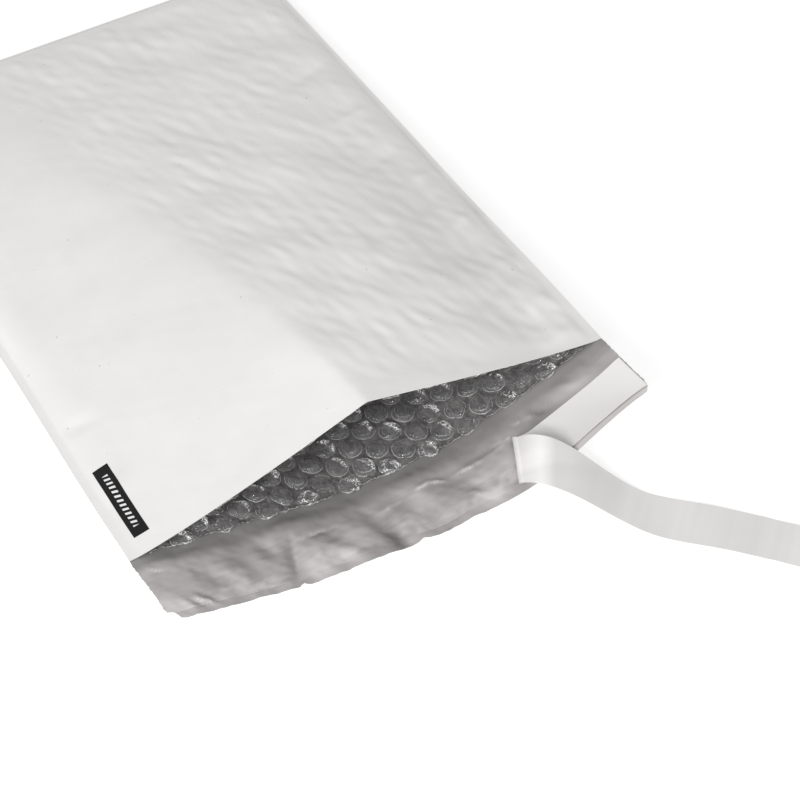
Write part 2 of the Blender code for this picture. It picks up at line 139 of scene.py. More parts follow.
# %% A material and its nodes
class Finish:
    """A material and the nodes in it."""

    def __init__(self, name):
        self.material = bpy.data.materials.new(name)
        self.material.use_nodes = True
        self.nodes = self.material.node_tree.nodes
        self.links = self.material.node_tree.links
        self.surface = self.nodes["Principled BSDF"]

    def node(self, kind, settings=None, sockets=None, output=0):
        node = self.nodes.new(kind)
        for key, value in (settings or {}).items():
            if key == "stops":
                ramp = node.color_ramp
                while len(ramp.elements) < len(value):
                    ramp.elements.new(0.5)
                for element, (position, tone) in zip(ramp.elements, value):
                    element.position = position
                    element.color = (tone, tone, tone, 1)
            else:
                setattr(node, key, value)
        for key, value in (sockets or {}).items():
            self.feed(node.inputs[key], value)
        return Signal(self, node.outputs[output])

    def feed(self, socket, value):
        if isinstance(value, Signal):
            self.links.new(value.socket, socket)
        else:
            socket.default_value = value

    def set(self, **values):
        """Values or links of the surface shader, by socket name with _ for a space."""
        for name, value in values.items():
            self.feed(self.surface.inputs[name.replace("_", " ")], value)

    def place(self):
        """Object coordinates, in metres."""
        return self.node("ShaderNodeTexCoord", output="Object")

    def flat(self):
        """The piece's own UV map: flat place on the sheet, in metres."""
        return self.node("ShaderNodeUVMap", {"uv_map": "flat"})

    def attribute(self, name):
        return self.node("ShaderNodeAttribute", {"attribute_name": name}, output="Fac")

    def split(self, vector):
        return [self.node("ShaderNodeSeparateXYZ", sockets={0: vector}, output=i) for i in range(3)]

    def noise(self, vector, pace, detail=3.0, roughness=0.5, distortion=0.0, turn=0.0):
        """Cloudy noise with pace clouds in a metre, along x, y and z where pace is three numbers."""
        pace = pace if isinstance(pace, tuple) else (pace, pace, pace)
        turned = {"Vector": vector, "Scale": pace, "Rotation": (0, 0, turn)}
        sockets = {"Vector": self.node("ShaderNodeMapping", sockets=turned), "Scale": 1.0, "Detail": detail,
                   "Roughness": roughness, "Distortion": distortion}
        return self.node("ShaderNodeTexNoise", sockets=sockets)

    def blend(self, share, low, high):
        return self.node("ShaderNodeMix", {"data_type": "RGBA"}, {0: share, 6: low, 7: high}, output=2)

    def bump(self, height, strength, distance):
        sockets = {"Height": height, "Strength": strength, "Distance": distance}
        return self.node("ShaderNodeBump", sockets=sockets)


def grey(value, tint=(1.0, 1.0, 1.0)):
    return tuple(value * channel for channel in tint) + (1.0,)


print("finish helper ready")

# %% [markdown]
# ## The film's shape as a rule
#
# The mailer lies on its back panel. Its mouth stands open in a low tent with a ridge, the side
# seams float a little above the table, and the closed end is a puffed edge. Every height follows
# from a side, -1 on the left seam to 1 on the right one, and a depth behind the mouth's line.
# These are the same named values and rules as in the part's source, written for whole arrays, so
# that a fine mesh agrees with the solid under it.

# %% Sizes of the mailer
MAILER_WIDTH, BODY_LENGTH, FLAP_LENGTH = 0.216, 0.305, 0.0355
HALF_WIDTH, MOUTH_Y = MAILER_WIDTH / 2, -BODY_LENGTH / 2
FLAP_CORNER_RADIUS, SOLID_FILM, SEAM_MARGIN, END_FOLD = 0.006, 0.0003, 0.003, 0.0015
INNER_SIDE = 1 - SEAM_MARGIN / HALF_WIDTH

CORNER_HEIGHT_LEFT, CORNER_HEIGHT_RIGHT, END_EDGE_HEIGHT = 0.0194, 0.0248, 0.0045
RIDGE_HEIGHT, RIDGE_OFFSET, RIDGE_DRIFT = 0.050, -0.0035, -0.30
RIDGE_DRIFT_START, RIDGE_DRIFT_LENGTH, RIDGE_FADE_POWER = 0.140, 0.200, 1.1
RIDGE_RADIUS, RIDGE_SOFTENING = 0.0006, 0.055
PANEL_POWER_LEFT, PANEL_POWER_RIGHT, PANEL_POWER_DEPTH = 1.25, 1.15, 0.080
PUFF_HEIGHT, PUFF_REACH, PUFF_FULL_DEPTH = 0.0045, 0.016, 0.120
REST_LEFT, REST_RIGHT, REST_POWER, REST_BLEND_DEPTH = 0.012, 0.034, 1.1, 0.200

FLAP_CORNER_LEFT, FLAP_CORNER_RIGHT = 0.0245, 0.0277
FLAP_REST_LEFT, FLAP_REST_RIGHT = 0.025, 0.030
FLAP_POWER_LEFT, FLAP_POWER_RIGHT, FLAP_EDGE_LIFT = 1.05, 1.55, 0.001
FLAP_WAVE_OFFSET, FLAP_WAVE_HEIGHT, FLAP_WAVE_SPREAD = -0.024, 0.0044, 0.015
FLAP_DISH, FLAP_DISH_START, FLAP_DISH_RUN, FLAP_DISH_END_RUN = 0.0045, 0.052, 0.014, 0.018
print(f"flat size {1000 * MAILER_WIDTH:.0f} x {1000 * BODY_LENGTH:.0f} mm, flap {1000 * FLAP_LENGTH:.1f} mm")


# %% Heights of the film
def clamp(value, low=0.0, high=1.0):
    return np.clip(value, low, high)


def ease(share):
    share = clamp(share)
    return share * share * (3 - 2 * share)


def swell(distance):
    return 1 - (1 - clamp(distance / PUFF_REACH)) ** 3


def seam_height(side, depth):
    share = clamp(depth / BODY_LENGTH)
    left = CORNER_HEIGHT_LEFT + (END_EDGE_HEIGHT - CORNER_HEIGHT_LEFT) * share
    right = CORNER_HEIGHT_RIGHT + (END_EDGE_HEIGHT - CORNER_HEIGHT_RIGHT) * share
    return left + (right - left) * (side + 1) / 2


def ridge_side(depth):
    depth = clamp(depth, 0, RIDGE_DRIFT_LENGTH)
    return (RIDGE_OFFSET + RIDGE_DRIFT * depth * depth / (depth + RIDGE_DRIFT_START)) / HALF_WIDTH


def tent(side, depth):
    ridge = ridge_side(depth)
    soft = RIDGE_RADIUS + RIDGE_SOFTENING * depth
    distance = np.abs(side - ridge) * HALF_WIDTH
    reach = (INNER_SIDE + np.where(side < ridge, ridge, -ridge)) * HALF_WIDTH
    fall = (np.hypot(distance, soft) - soft) / (np.hypot(reach, soft) - soft)
    mouth_power = np.where(side < ridge, PANEL_POWER_LEFT, PANEL_POWER_RIGHT)
    return clamp(1 - fall) ** (mouth_power + (1 - mouth_power) * ease(depth / PANEL_POWER_DEPTH))


def side_distance(side):
    return np.maximum(0.0, (INNER_SIDE - np.abs(side)) * HALF_WIDTH)


def end_swell(depth):
    return swell(np.maximum(0.0, BODY_LENGTH - END_FOLD - depth))


def front_height(side, depth):
    mouth_lift = RIDGE_HEIGHT - SOLID_FILM - seam_height(ridge_side(0.0), 0.0)
    lift = mouth_lift * clamp(1 - depth / BODY_LENGTH) ** RIDGE_FADE_POWER
    puff = PUFF_HEIGHT * ease(depth / PUFF_FULL_DEPTH) * swell(side_distance(side))
    return seam_height(side, depth) + SOLID_FILM + (lift * tent(side, depth) + puff) * end_swell(depth)


def back_height(side, depth):
    rest = np.where(side < 0, REST_LEFT, REST_RIGHT)
    reach = INNER_SIDE * HALF_WIDTH - rest
    open_fall = 1 - clamp((np.abs(side) * HALF_WIDTH - rest) / reach) ** REST_POWER
    level = ease(depth / REST_BLEND_DEPTH)
    fall = ((1 - level) * open_fall + level * swell(side_distance(side))) * end_swell(depth)
    return (seam_height(side, depth) - SOLID_FILM) * (1 - fall)


opening = front_height(0.0, 0.0) - back_height(0.0, 0.0)
print(f"the mouth's middle stands open by {1000 * float(opening):.1f} mm")


# %% Heights of the flap
def flap_edge_height(side):
    across = side * HALF_WIDTH
    left = clamp((-across - FLAP_REST_LEFT) / (HALF_WIDTH - FLAP_REST_LEFT)) ** FLAP_POWER_LEFT
    right = ease((across - FLAP_REST_RIGHT) / (HALF_WIDTH - FLAP_REST_RIGHT)) ** FLAP_POWER_RIGHT
    curl = FLAP_CORNER_LEFT * left + FLAP_CORNER_RIGHT * right
    wave = FLAP_WAVE_HEIGHT * np.exp(-((across - FLAP_WAVE_OFFSET) / FLAP_WAVE_SPREAD) ** 2)
    return FLAP_EDGE_LIFT + curl + wave


def flap_dish(side):
    """How far the flap sags between the mouth and its outer edge, right of the liner's fold."""
    across = side * HALF_WIDTH
    end = clamp((across - HALF_WIDTH + FLAP_DISH_END_RUN) / FLAP_DISH_END_RUN)
    return FLAP_DISH * ease((across - FLAP_DISH_START) / FLAP_DISH_RUN) * (1 - end ** 2)


def flap_height(side, depth):
    share = -depth / FLAP_LENGTH
    straight = (1 - share) * back_height(side, 0.0) + share * flap_edge_height(side)
    return straight - 4 * share * (1 - share) * flap_dish(side)


curls = [float(1000 * flap_edge_height(side)) for side in (-1.0, 1.0)]
print("the flap's corners curl up to", [round(curl, 1) for curl in curls], "mm")

# %% Width of the open pocket
CHORD_STEPS = 80


def half_chord(depth):
    """Half the distance between the seams that leaves the front panel its flat width."""
    depth = np.atleast_1d(np.asarray(depth, float))
    steps = np.linspace(-1, 1, CHORD_STEPS + 1)
    rise = np.diff(front_height(steps[None, :], depth[:, None]), axis=1)
    low, high = np.full(len(depth), 0.8 * HALF_WIDTH), np.full(len(depth), HALF_WIDTH)
    for _ in range(40):
        middle = (low + high) / 2
        short = np.hypot(2 * middle[:, None] / CHORD_STEPS, rise).sum(1) < MAILER_WIDTH
        low, high = np.where(short, middle, low), np.where(short, high, middle)
    return (low + high) / 2


CHORD_DEPTHS = np.linspace(0, BODY_LENGTH, 124)
CHORDS = half_chord(CHORD_DEPTHS)


def half_width(depth):
    """Half the width of the film at a depth, or on the flap where the depth is below 0."""
    return np.interp(depth, CHORD_DEPTHS, CHORDS)


print(f"mouth is {2 * CHORDS[0] * 1000:.1f} mm wide, closed end {2 * CHORDS[-1] * 1000:.1f} mm")

# %% Corners of the flap
TORN_RADIUS, TEAR_SLANT, TEAR_STEP, TEAR_BELOW_STEP, NICK = 0.0015, 0.0006, 0.0027, 0.0017, 0.0001
TEAR_SLANT_RUN, TEAR_STEP_DEPTH, TEAR_STEP_RUN, TEAR_END_RUN = 0.031, 0.0308, 0.0007, 0.004


def corner_inset(side, depth):
    """How far the flap's edge is drawn in: round corners, the left one sharper and torn."""
    radius = np.where(side < 0, TORN_RADIUS, FLAP_CORNER_RADIUS)
    reach = clamp(radius - FLAP_LENGTH - depth, 0, radius)
    round_inset = radius - np.sqrt(radius ** 2 - reach ** 2)
    below = -depth - TEAR_STEP_DEPTH
    tear = TEAR_SLANT * ease(-depth / TEAR_SLANT_RUN) + TEAR_STEP * ease(below / TEAR_STEP_RUN)
    tear = tear + TEAR_BELOW_STEP * clamp((below - TEAR_STEP_RUN) / TEAR_END_RUN)
    nicks = NICK * waves(depth, 0.0, 0.0026, 51) + NICK * waves(depth, 0.0, 0.009, 52)
    return round_inset + np.where(side < 0, tear, 0.0) + nicks * ease(-depth / 0.003)


print(f"the torn corner is drawn in by {1000 * (TEAR_SLANT + TEAR_STEP + TEAR_BELOW_STEP):.1f} mm")

# %% [markdown]
# ## Folds, waves and dents
#
# Film never lies as smoothly as a rule says. Three kinds of unevenness are added to the heights.
# Soft waves are a sum of sines in random directions from a fixed seed, so each run gives the
# same ones. Creases are straight folds with a chosen start and end, a width and a height, all in
# millimetres, and a share of sharpness. Quilting is the faint pattern of the bubbles that show
# through the film where it is slack.

# %% Unevenness of a film
WAVE_COUNT, WAVE_SPREAD, BUBBLE_PITCH = 16, 0.45, 0.0108


def waves(x, y, length, seed, direction=None, fan=math.pi):
    """Random soft waves of about one height unit, with crests about length apart."""
    chance = np.random.default_rng(seed)
    total = np.zeros(np.broadcast(x, y).shape)
    for _ in range(WAVE_COUNT):
        angle = (chance.uniform(0, math.pi) if direction is None
                 else direction + chance.uniform(-fan / 2, fan / 2))
        pace = 2 * math.pi / (length * math.exp(chance.uniform(-WAVE_SPREAD, WAVE_SPREAD)))
        phase = chance.uniform(0, 2 * math.pi)
        total += np.sin(pace * (x * math.cos(angle) + y * math.sin(angle)) + phase)
    return total * math.sqrt(2 / WAVE_COUNT)


def crease(x, y, start, stop, width, height, sharp):
    """A straight fold from start to stop, in mm, with its sides falling off over width."""
    (x0, y0), (x1, y1) = np.array(start) / 1000, np.array(stop) / 1000
    length = math.hypot(x1 - x0, y1 - y0)
    dx, dy = (x1 - x0) / length, (y1 - y0) / length
    along = ((x - x0) * dx + (y - y0) * dy) / length
    off = np.abs((x - x0) * dy - (y - y0) * dx) / (width / 1000)
    profile = np.exp(-off ** 2) * (1 - sharp) + np.exp(-off * 1.6) * sharp
    return height / 1000 * profile * ease(1 - np.abs(2 * clamp(along, -0.35, 1.35) - 1) / 1.7)


def quilting(x, y):
    """Hexagonal pattern of bumps, -0.5 to 1, a bubble's pitch apart."""
    pace = 4 * math.pi / (math.sqrt(3) * BUBBLE_PITCH)
    total = sum(np.cos(pace * (x * math.cos(a) + y * math.sin(a))) for a in np.radians((0, 60, 120)))
    return total / 3


print("waves, creases and quilting ready")

# %% Unevenness of the front panel
FRONT_CREASES = [
    ((84, 3), (101, 12), 4, 1.2, 0.3), ((76, 14), (100, 24), 4, -0.9, 0.3),
    ((90, 26), (103, 34), 3, 1.3, 0.3), ((70, 36), (100, 50), 4, -1.2, 0.3),
    ((88, 52), (103, 60), 3, 1.3, 0.3), ((80, 64), (102, 78), 4, -1.2, 0.3),
    ((88, 82), (103, 90), 3, 1.3, 0.3), ((78, 96), (102, 110), 4, -1.1, 0.3),
    ((88, 116), (103, 124), 3, 1.2, 0.3), ((70, 132), (100, 144), 5, -1.2, 0.3),
    ((78, 170), (101, 176), 4, 1.2, 0.3), ((74, 205), (100, 216), 4, -1.2, 0.3),
    ((48, 84), (62, 98), 6, -1.4, 0.0), ((40, 60), (70, 90), 9, -0.6, 0.0),
    ((20, 100), (60, 120), 9, 0.5, 0.0), ((-60, 150), (-20, 190), 10, -0.4, 0.0),
    ((-104, 30), (-92, 38), 4, 0.7, 0.3), ((-104, 70), (-90, 66), 4, -0.7, 0.3),
]


def front_unevenness(x, depth):
    across = x / HALF_WIDTH
    fade = ease(side_distance(across) / 0.005) * ease((BODY_LENGTH - depth) / 0.02)
    slack = 0.25 + 0.75 * ease((across + 0.1 + depth * 1.2) / 0.35)
    total = 0.00020 * quilting(x, depth) * slack * (0.6 + 0.4 * waves(x, depth, 0.05, 11))
    right = ease((across + 0.1 + depth * 1.5) / 0.3) * ease(depth / 0.03)
    total += 0.00010 * waves(x, depth, 0.0085, 13, direction=0.33, fan=0.8) * right
    total += 0.00040 * waves(x, depth, 0.045, 5) * slack
    for start, stop, width, height, sharp in FRONT_CREASES:
        total += crease(x, depth, start, stop, width, height, sharp)
    return total * fade * ease(depth / 0.012 + 0.15)


print(len(FRONT_CREASES), "creases on the front panel")

# %% Unevenness of the back panel and the flap
FLAP_CREASES = [
    ((-46.5, -13), (-54, -34), 3.6, -1.5, 0.5), ((-40, -17), (-44, -35), 5.5, 1.0, 0.0),
    ((-34, -21), (-24, -34), 3.5, 0.7, 0.2), ((-11, -13), (-7, -34), 4.5, -1.6, 0.2),
    ((-1, -16), (2, -34), 6.0, 0.9, 0.0), ((8, -16), (15, -34), 5.0, -1.1, 0.1),
    ((22, -20), (32, -33), 6.0, 0.8, 0.0), ((-44, -14.8), (-28, -14.2), 1.3, -0.5, 0.8),
    ((-85, -11), (-83, -24), 4.0, -0.4, 0.1), ((-76, -14), (-72, -30), 5.0, 0.5, 0.0),
    ((-60, -9), (-55, -19), 3.0, -0.6, 0.2), ((-100, -26), (-97, -33), 2.0, 0.5, 0.4),
    ((-94, -25), (-92, -30), 0.9, 0.45, 0.8), ((-91, -27), (-90, -32), 0.8, 0.40, 0.8),
    ((-96, -28), (-93, -33), 0.9, -0.40, 0.8), ((-104, -6), (-101, -9), 0.9, 0.4, 0.8),
    ((-103, -9), (-99, -11), 1.0, -0.35, 0.8), ((11, -12), (17, -11.2), 0.9, 0.35, 0.7),
    ((17, -11.2), (24, -14.5), 1.0, 0.40, 0.7), ((29, -13.4), (41, -12.6), 0.9, 0.35, 0.7),
    ((42, -13.0), (57, -12.3), 0.9, 0.35, 0.7), ((30, -24), (33, -27), 1.0, 0.35, 0.6),
    ((40, -22), (52, -31), 5.0, -0.7, 0.1), ((66, -6), (72, -11), 2.0, 0.5, 0.3),
    ((80, -4), (92, -10), 3.0, 0.6, 0.3), ((58, -3), (80, -12), 3.5, -0.6, 0.2),
    ((-95, -27), (-88, -33), 1.2, 0.45, 0.6),
]


def back_unevenness(x, depth):
    across = x / HALF_WIDTH
    inside = ease(depth / 0.02)
    total = 0.00015 * (1 + quilting(x, depth)) * inside * ease(side_distance(across) / 0.01)
    smooth = 1 - 0.9 * ease((x - 0.050) / 0.010) * ease((-depth - 0.008) / 0.005)
    flap = ease(-depth / 0.006) * smooth
    total += flap * 0.00015 * waves(x, depth, 0.017, 8, direction=0.25, fan=1.3)
    total += flap * 0.00040 * waves(x, depth, 0.036, 9, direction=0.1, fan=0.9)
    total += smooth * ease(-depth / 0.002 + 0.3) * 0.00005 * waves(x, depth, 0.006, 21)
    total -= 0.0003 * np.exp(-((depth + 0.0026) / 0.0030) ** 2) * ease((0.06 - x) / 0.05)
    for start, stop, width, height, sharp in FLAP_CREASES:
        total += flap * crease(x, depth, start, stop, width, 1.5 * height, sharp)
    return total


print(len(FLAP_CREASES), "creases on the flap")

# %% [markdown]
# ## Painted sheen of the film
#
# Smooth film gleams in soft patches where it leans to the lamp, and it does so more than plain
# roughness shows on folds under a millimetre high. So a painted sheen, a value from -1 to 1, is
# worked out for each point from the slope of the unevenness towards the lamp. Broad soft zones of
# painted light and painted shade are added: middle, half width and depth in millimetres, and a
# strength. Short streaks of painted glint are added on sharp edges of the flap. The meshes carry
# it as an attribute, which the finishes paint into the colour, lighter where it is high.

# %% Sheen
FLAP_PAINTED_LIGHT_ZONES = [
    (-41, -26, 6, 8, 0.60), (-28, -29, 7, 4, 0.45), (-50.5, -22, 3, 8, -0.30), (-54, -32, 4, 3, 0.60),
    (-7, -25, 3, 9, -0.75), (6, -21, 5, 8, 0.70), (19, -25, 5, 8, -0.40), (-92, -22, 12, 8, 0.12),
    (-104, -7, 5, 3, 0.40), (40, -22, 10, 6, 0.40), (38, -30, 8, 4, 0.90), (-66, -20, 5, 7, 0.20),
    (-23, -21, 7, 6, 0.50), (70, -11, 8, 4, -0.65), (92, -7, 9, 4, 0.20), (46, -12, 6, 2.5, -0.30),
]
FLAP_PAINTED_GLINTS = [
    ((28, -13.6), (41, -13.9)), ((47, -11.2), (59, -11.8)), ((11, -12.8), (17.5, -12.1)),
    ((17.5, -12.1), (24, -14.4)), ((-7, -15.2), (2.5, -14.5)), ((-44, -15), (-29, -14.6)),
    ((60, -7), (68, -8.4)),
]
FRONT_PAINTED_LIGHT_ZONES = [
    (5, 22, 34, 34, 0.55), (75, 84, 20, 60, -1.0), (-60, 170, 60, 60, 0.35), (94, 16, 12, 16, 0.55),
]
SLOPE_STEP, PAINTED_GLINT_WIDTH, PAINTED_GLINT_STRENGTH = 0.0006, 0.9, 1100


def slope_to_lamp(x, depth, unevenness):
    rise_x = unevenness(x + SLOPE_STEP, depth) - unevenness(x - SLOPE_STEP, depth)
    rise_y = unevenness(x, depth + SLOPE_STEP) - unevenness(x, depth - SLOPE_STEP)
    return (0.8 * rise_x + 0.6 * rise_y) / SLOPE_STEP


def with_painted_light_zones(total, x, depth, zones):
    for place_x, place_y, size_x, size_y, strength in zones:
        off = ((x * 1000 - place_x) / size_x) ** 2 + ((depth * 1000 - place_y) / size_y) ** 2
        total = total + strength * np.exp(-off)
    return clamp(total, -1, 1)


# Painted sheen of the white outside: lighter where it leans to the lamp and in the lit zones, darker where
# it leans away.
def front_sheen(x, depth):
    slope = slope_to_lamp(x, depth, front_unevenness)
    return with_painted_light_zones(clamp(0.8 * slope, -0.8, 0.5), x, depth, FRONT_PAINTED_LIGHT_ZONES)


def flap_sheen(x, depth):
    """Painted sheen of the shinier grey inside: steep folds count more than gentle ones, edges glint."""
    slope = slope_to_lamp(x, depth, back_unevenness)
    folds = clamp(0.25 * slope + 0.40 * slope * np.abs(slope), -0.22, 0.8)
    total = with_painted_light_zones(folds, x, depth, FLAP_PAINTED_LIGHT_ZONES)
    broken = clamp(0.7 + 0.6 * waves(x, depth, 0.003, 91))
    for start, stop in FLAP_PAINTED_GLINTS:
        total = total + broken * crease(x, depth, start, stop, PAINTED_GLINT_WIDTH, PAINTED_GLINT_STRENGTH, 0.3)
    return clamp(total, -1, 1) * ease(-depth / 0.004)


print(len(FRONT_PAINTED_LIGHT_ZONES), "soft zones of light on the front panel,", len(FLAP_PAINTED_LIGHT_ZONES), "on the flap")

# %% [markdown]
# ## Fine meshes of the film
#
# Each panel is a grid of points, a little over a millimetre apart, and its lower side is the same
# grid one film further down. A film of one layer of faces would show no cut edge and would look
# the same from both sides, so the two layers are joined round their rim into a closed shell. The
# upper and the lower faces can then have different finishes: the film is white outside and grey
# inside.

# %% Shells
SHOWN_FILM = 0.0002


def shell(name, top, bottom, flat, finishes):
    """Closed shell between two grids of points; flat holds the sheet's own places, in metres."""
    rows, columns = top.shape[:2]
    count = rows * columns
    index = np.arange(count).reshape(rows, columns)
    quads = np.stack([index[:-1, :-1], index[:-1, 1:], index[1:, 1:], index[1:, :-1]], -1).reshape(-1, 4)
    rim = np.concatenate([index[0], index[1:, -1], index[-1, -2::-1], index[-2:0:-1, 0]])
    after = np.roll(rim, -1)
    walls = np.stack([after, rim, rim + count, after + count], -1)
    faces = np.concatenate([quads, quads[:, ::-1] + count, walls])
    mesh = bpy.data.meshes.new(name)
    points = np.concatenate([top.reshape(-1, 3), bottom.reshape(-1, 3)])
    mesh.from_pydata(points.tolist(), [], faces.tolist())
    for finish in finishes:
        mesh.materials.append(finish)
    slots = np.zeros(len(faces), np.int32)
    slots[len(quads):2 * len(quads)] = len(finishes) - 1
    mesh.polygons.foreach_set("material_index", slots)
    corners = np.empty(len(mesh.loops), np.int32)
    mesh.loops.foreach_get("vertex_index", corners)
    places = np.tile(flat.reshape(-1, 2), (2, 1))[corners]
    mesh.uv_layers.new(name="flat").data.foreach_set("uv", places.ravel().astype(np.float32))
    mesh.shade_smooth()
    mesh.set_sharp_from_angle(angle=math.radians(50))
    print(f"{name}: {2 * len(faces)} triangles")
    return add_object(name, mesh)


def store(mesh, name, values):
    """One number for each point of a mesh, as an attribute that a finish can read."""
    mesh.attributes.new(name, "FLOAT", "POINT").data.foreach_set("value", np.asarray(values, np.float32))


def paint(obj, name, values):
    """One value for each point of a shell's grid, the same on its two faces."""
    store(obj.data, name, np.tile(values.ravel(), 2))


def columns_at(depths, count):
    """Sides of a grid's columns: they follow the ridge, and the outer ones the seams' margins."""
    inner = np.linspace(-INNER_SIDE, INNER_SIDE, count)
    bent = inner[None, :] + ridge_side(depths)[:, None] * (1 - (inner / INNER_SIDE) ** 2)[None, :]
    edge = np.ones((len(depths), 1))
    return np.concatenate([-edge, bent, edge], 1)


def flat_places(depths, sides):
    """Places on the flat sheet for the UV map, in metres."""
    return np.stack([sides * HALF_WIDTH, np.broadcast_to(depths[:, None], sides.shape)], -1)


def film_points(depths, sides, height, unevenness, edge_inset=None):
    """Points of a film; its insets fade out towards the middle and towards the mouth."""
    depth = np.broadcast_to(depths[:, None], sides.shape)
    inset = corner_inset(sides, depth) * np.abs(sides) ** 12
    x = sides * (half_width(depths)[:, None] - inset)
    y = MOUTH_Y + depth
    if edge_inset is not None:
        y = y + edge_inset(sides) * clamp(-depth / FLAP_LENGTH) ** 6
    torn_sides = sides + np.where(sides < 0, inset / HALF_WIDTH, 0.0)
    z = height(torn_sides, depth) + unevenness(sides * HALF_WIDTH, depth)
    return np.stack([x, y, z], -1)


def back_or_flap_height(side, depth):
    flap, panel = flap_height(side, np.minimum(depth, 0)), back_height(side, np.maximum(depth, 0))
    return np.where(depth < 0, flap, panel)


print("shells ready")

# %% [markdown]
# ## Finishes of the film
#
# Outside, the film is white polyethylene with a soft shine: a Principled shader of middling
# roughness, a colour that follows the painted sheen a little, a few specks, and bumps too fine for
# the mesh. Inside it is pigmented grey, which keeps what is in the mailer from showing, and it
# shines more, so its colour follows the painted sheen more, and the flap's outer margin on the
# right is painted lighter. Below the mouth a soft dark strip of painted shadow lies where the two
# panels meet the flap.

# %% White outside
WHITE_TINT = (1.0, 0.984, 0.974)
white = Finish("white_film")
flat = white.flat()
mottle = white.noise(flat, 60, 4.0)
grain = white.noise(flat, 900, 3.0)
pucker = white.noise(flat, (160, 220, 160), 3.0, 0.55, 0.4)
specks = white.noise(flat, 520, 0.0).step(0.865, 0.885)
# Painted sheen: the colour is lighter where the sheen attribute is high and darker where it is low, with a
# random mottle.
tone = (0.5 + white.attribute("sheen") * 0.5 + mottle * 0.3 - 0.15).clamped()
tone = white.blend(tone, grey(0.68, WHITE_TINT), grey(0.88, WHITE_TINT))
white.set(Base_Color=white.blend(specks * 0.5, tone, grey(0.35)), Roughness=mottle * 0.16 + 0.34)
white.set(Normal=white.bump(pucker * 0.8 + grain * 0.2, 0.22, 0.0006), IOR=1.5)

# %% Grey inside
FILM_TINT = (1.0, 0.955, 0.945)
GREY_IN_SHADE, GREY_IN_LIGHT = grey(0.14, FILM_TINT), grey(0.72, FILM_TINT)
inside = Finish("grey_inner_film")
flat = inside.flat()
mottle = inside.noise(flat, 45, 4.0)
pucker = inside.noise(flat, (260, 120, 200), 4.0, 0.55, 0.6)
along, down, _ = inside.split(flat)
# Painted sheen, and the flap's outer margin on the right painted lighter.
shine = inside.attribute("sheen") + mottle * 0.5 - 0.25
margin = along.step(0.050, 0.062) * (1 - down.step(-0.0335, -0.0300))
tone = (shine * 0.5 + 0.5 + margin * 0.5).clamped()
tone = inside.blend(tone, GREY_IN_SHADE, GREY_IN_LIGHT)
# Painted shadow: a soft dark strip along the mouth's line, under the lining's cut edge.
tone = inside.blend(down.between(-0.0035, 0.002, 0.0065) * 0.62, tone, grey(0.16, FILM_TINT))
inside.set(Base_Color=tone, Roughness=mottle * 0.14 + 0.18)
inside.set(Normal=inside.bump(pucker, 0.22, 0.0007), IOR=1.5)
print("film finishes:", white.material.name, inside.material.name)

# %% [markdown]
# ## The front panel
#
# The front panel ends at the mouth in a plain cut. It stands open there as the roof of the tent.

# %% Front panel
front_depths = np.concatenate([np.linspace(0, 0.012, 14)[:-1], np.linspace(0.012, BODY_LENGTH, 196)])
front_sides = columns_at(front_depths, 153)
front_top = film_points(front_depths, front_sides, front_height, front_unevenness)
front_under = front_top - np.array([0, 0, SHOWN_FILM])
front_flat = flat_places(front_depths, front_sides)
film_front = shell("film_front", front_top, front_under, front_flat, [white.material, inside.material])
paint(film_front, "sheen", front_sheen(front_flat[..., 0], front_flat[..., 1]))
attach(film_front, "root")
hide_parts("outer_film")

# %% [markdown]
# ## The back panel and the flap
#
# The back panel lies on the table and runs on past the mouth as the flap. The flap's outer edge
# was cut with a toothed knife and handled: its left corner is torn and there are two nicks.

# %% Back panel and flap
NOTCHES = [(-52.3, 1.4, 1.2), (1.0, 2.0, 0.9)]


def flap_edge_inset(sides):
    """Two nicks, each with its place, half width and depth in mm, and a slightly ragged cut."""
    x = sides * HALF_WIDTH
    across = x * 1000
    notch = sum(depth * np.exp(-((across - place) / size) ** 2) for place, size, depth in NOTCHES)
    ragged = 0.10 * waves(x, 0.0, 0.006, 31) + 0.2 * waves(x, 0.0, 0.04, 32)
    return (notch + ragged * (1 - 0.85 * ease((across - 50) / 10))) / 1000


back_depths = np.concatenate([np.linspace(-FLAP_LENGTH, 0, 44)[:-1], np.linspace(0, BODY_LENGTH, 150)])
back_sides = columns_at(np.maximum(back_depths, 0), 175)
back_under = film_points(back_depths, back_sides, back_or_flap_height, back_unevenness, flap_edge_inset)
back_under[..., 2] = np.maximum(back_under[..., 2], 0.0)
back_top = back_under + np.array([0, 0, SHOWN_FILM])
back_flat = flat_places(back_depths, back_sides)
film_back = shell("film_back", back_top, back_under, back_flat, [inside.material, white.material])
paint(film_back, "sheen", flap_sheen(back_flat[..., 0], back_flat[..., 1]))
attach(film_back, "root")
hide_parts("outer_film")

# %% [markdown]
# ## The bubble lining
#
# The lining is a bubble sheet, folded with the film at the closed end, with its bubbles facing
# inwards. Its base sheet is one more shell along each panel. The bubbles are low clear domes on a
# hexagonal lattice, many hundreds on each panel and alike but for how full they are. So Geometry
# Nodes set one small dome on each point of the lattice, square to the sheet.

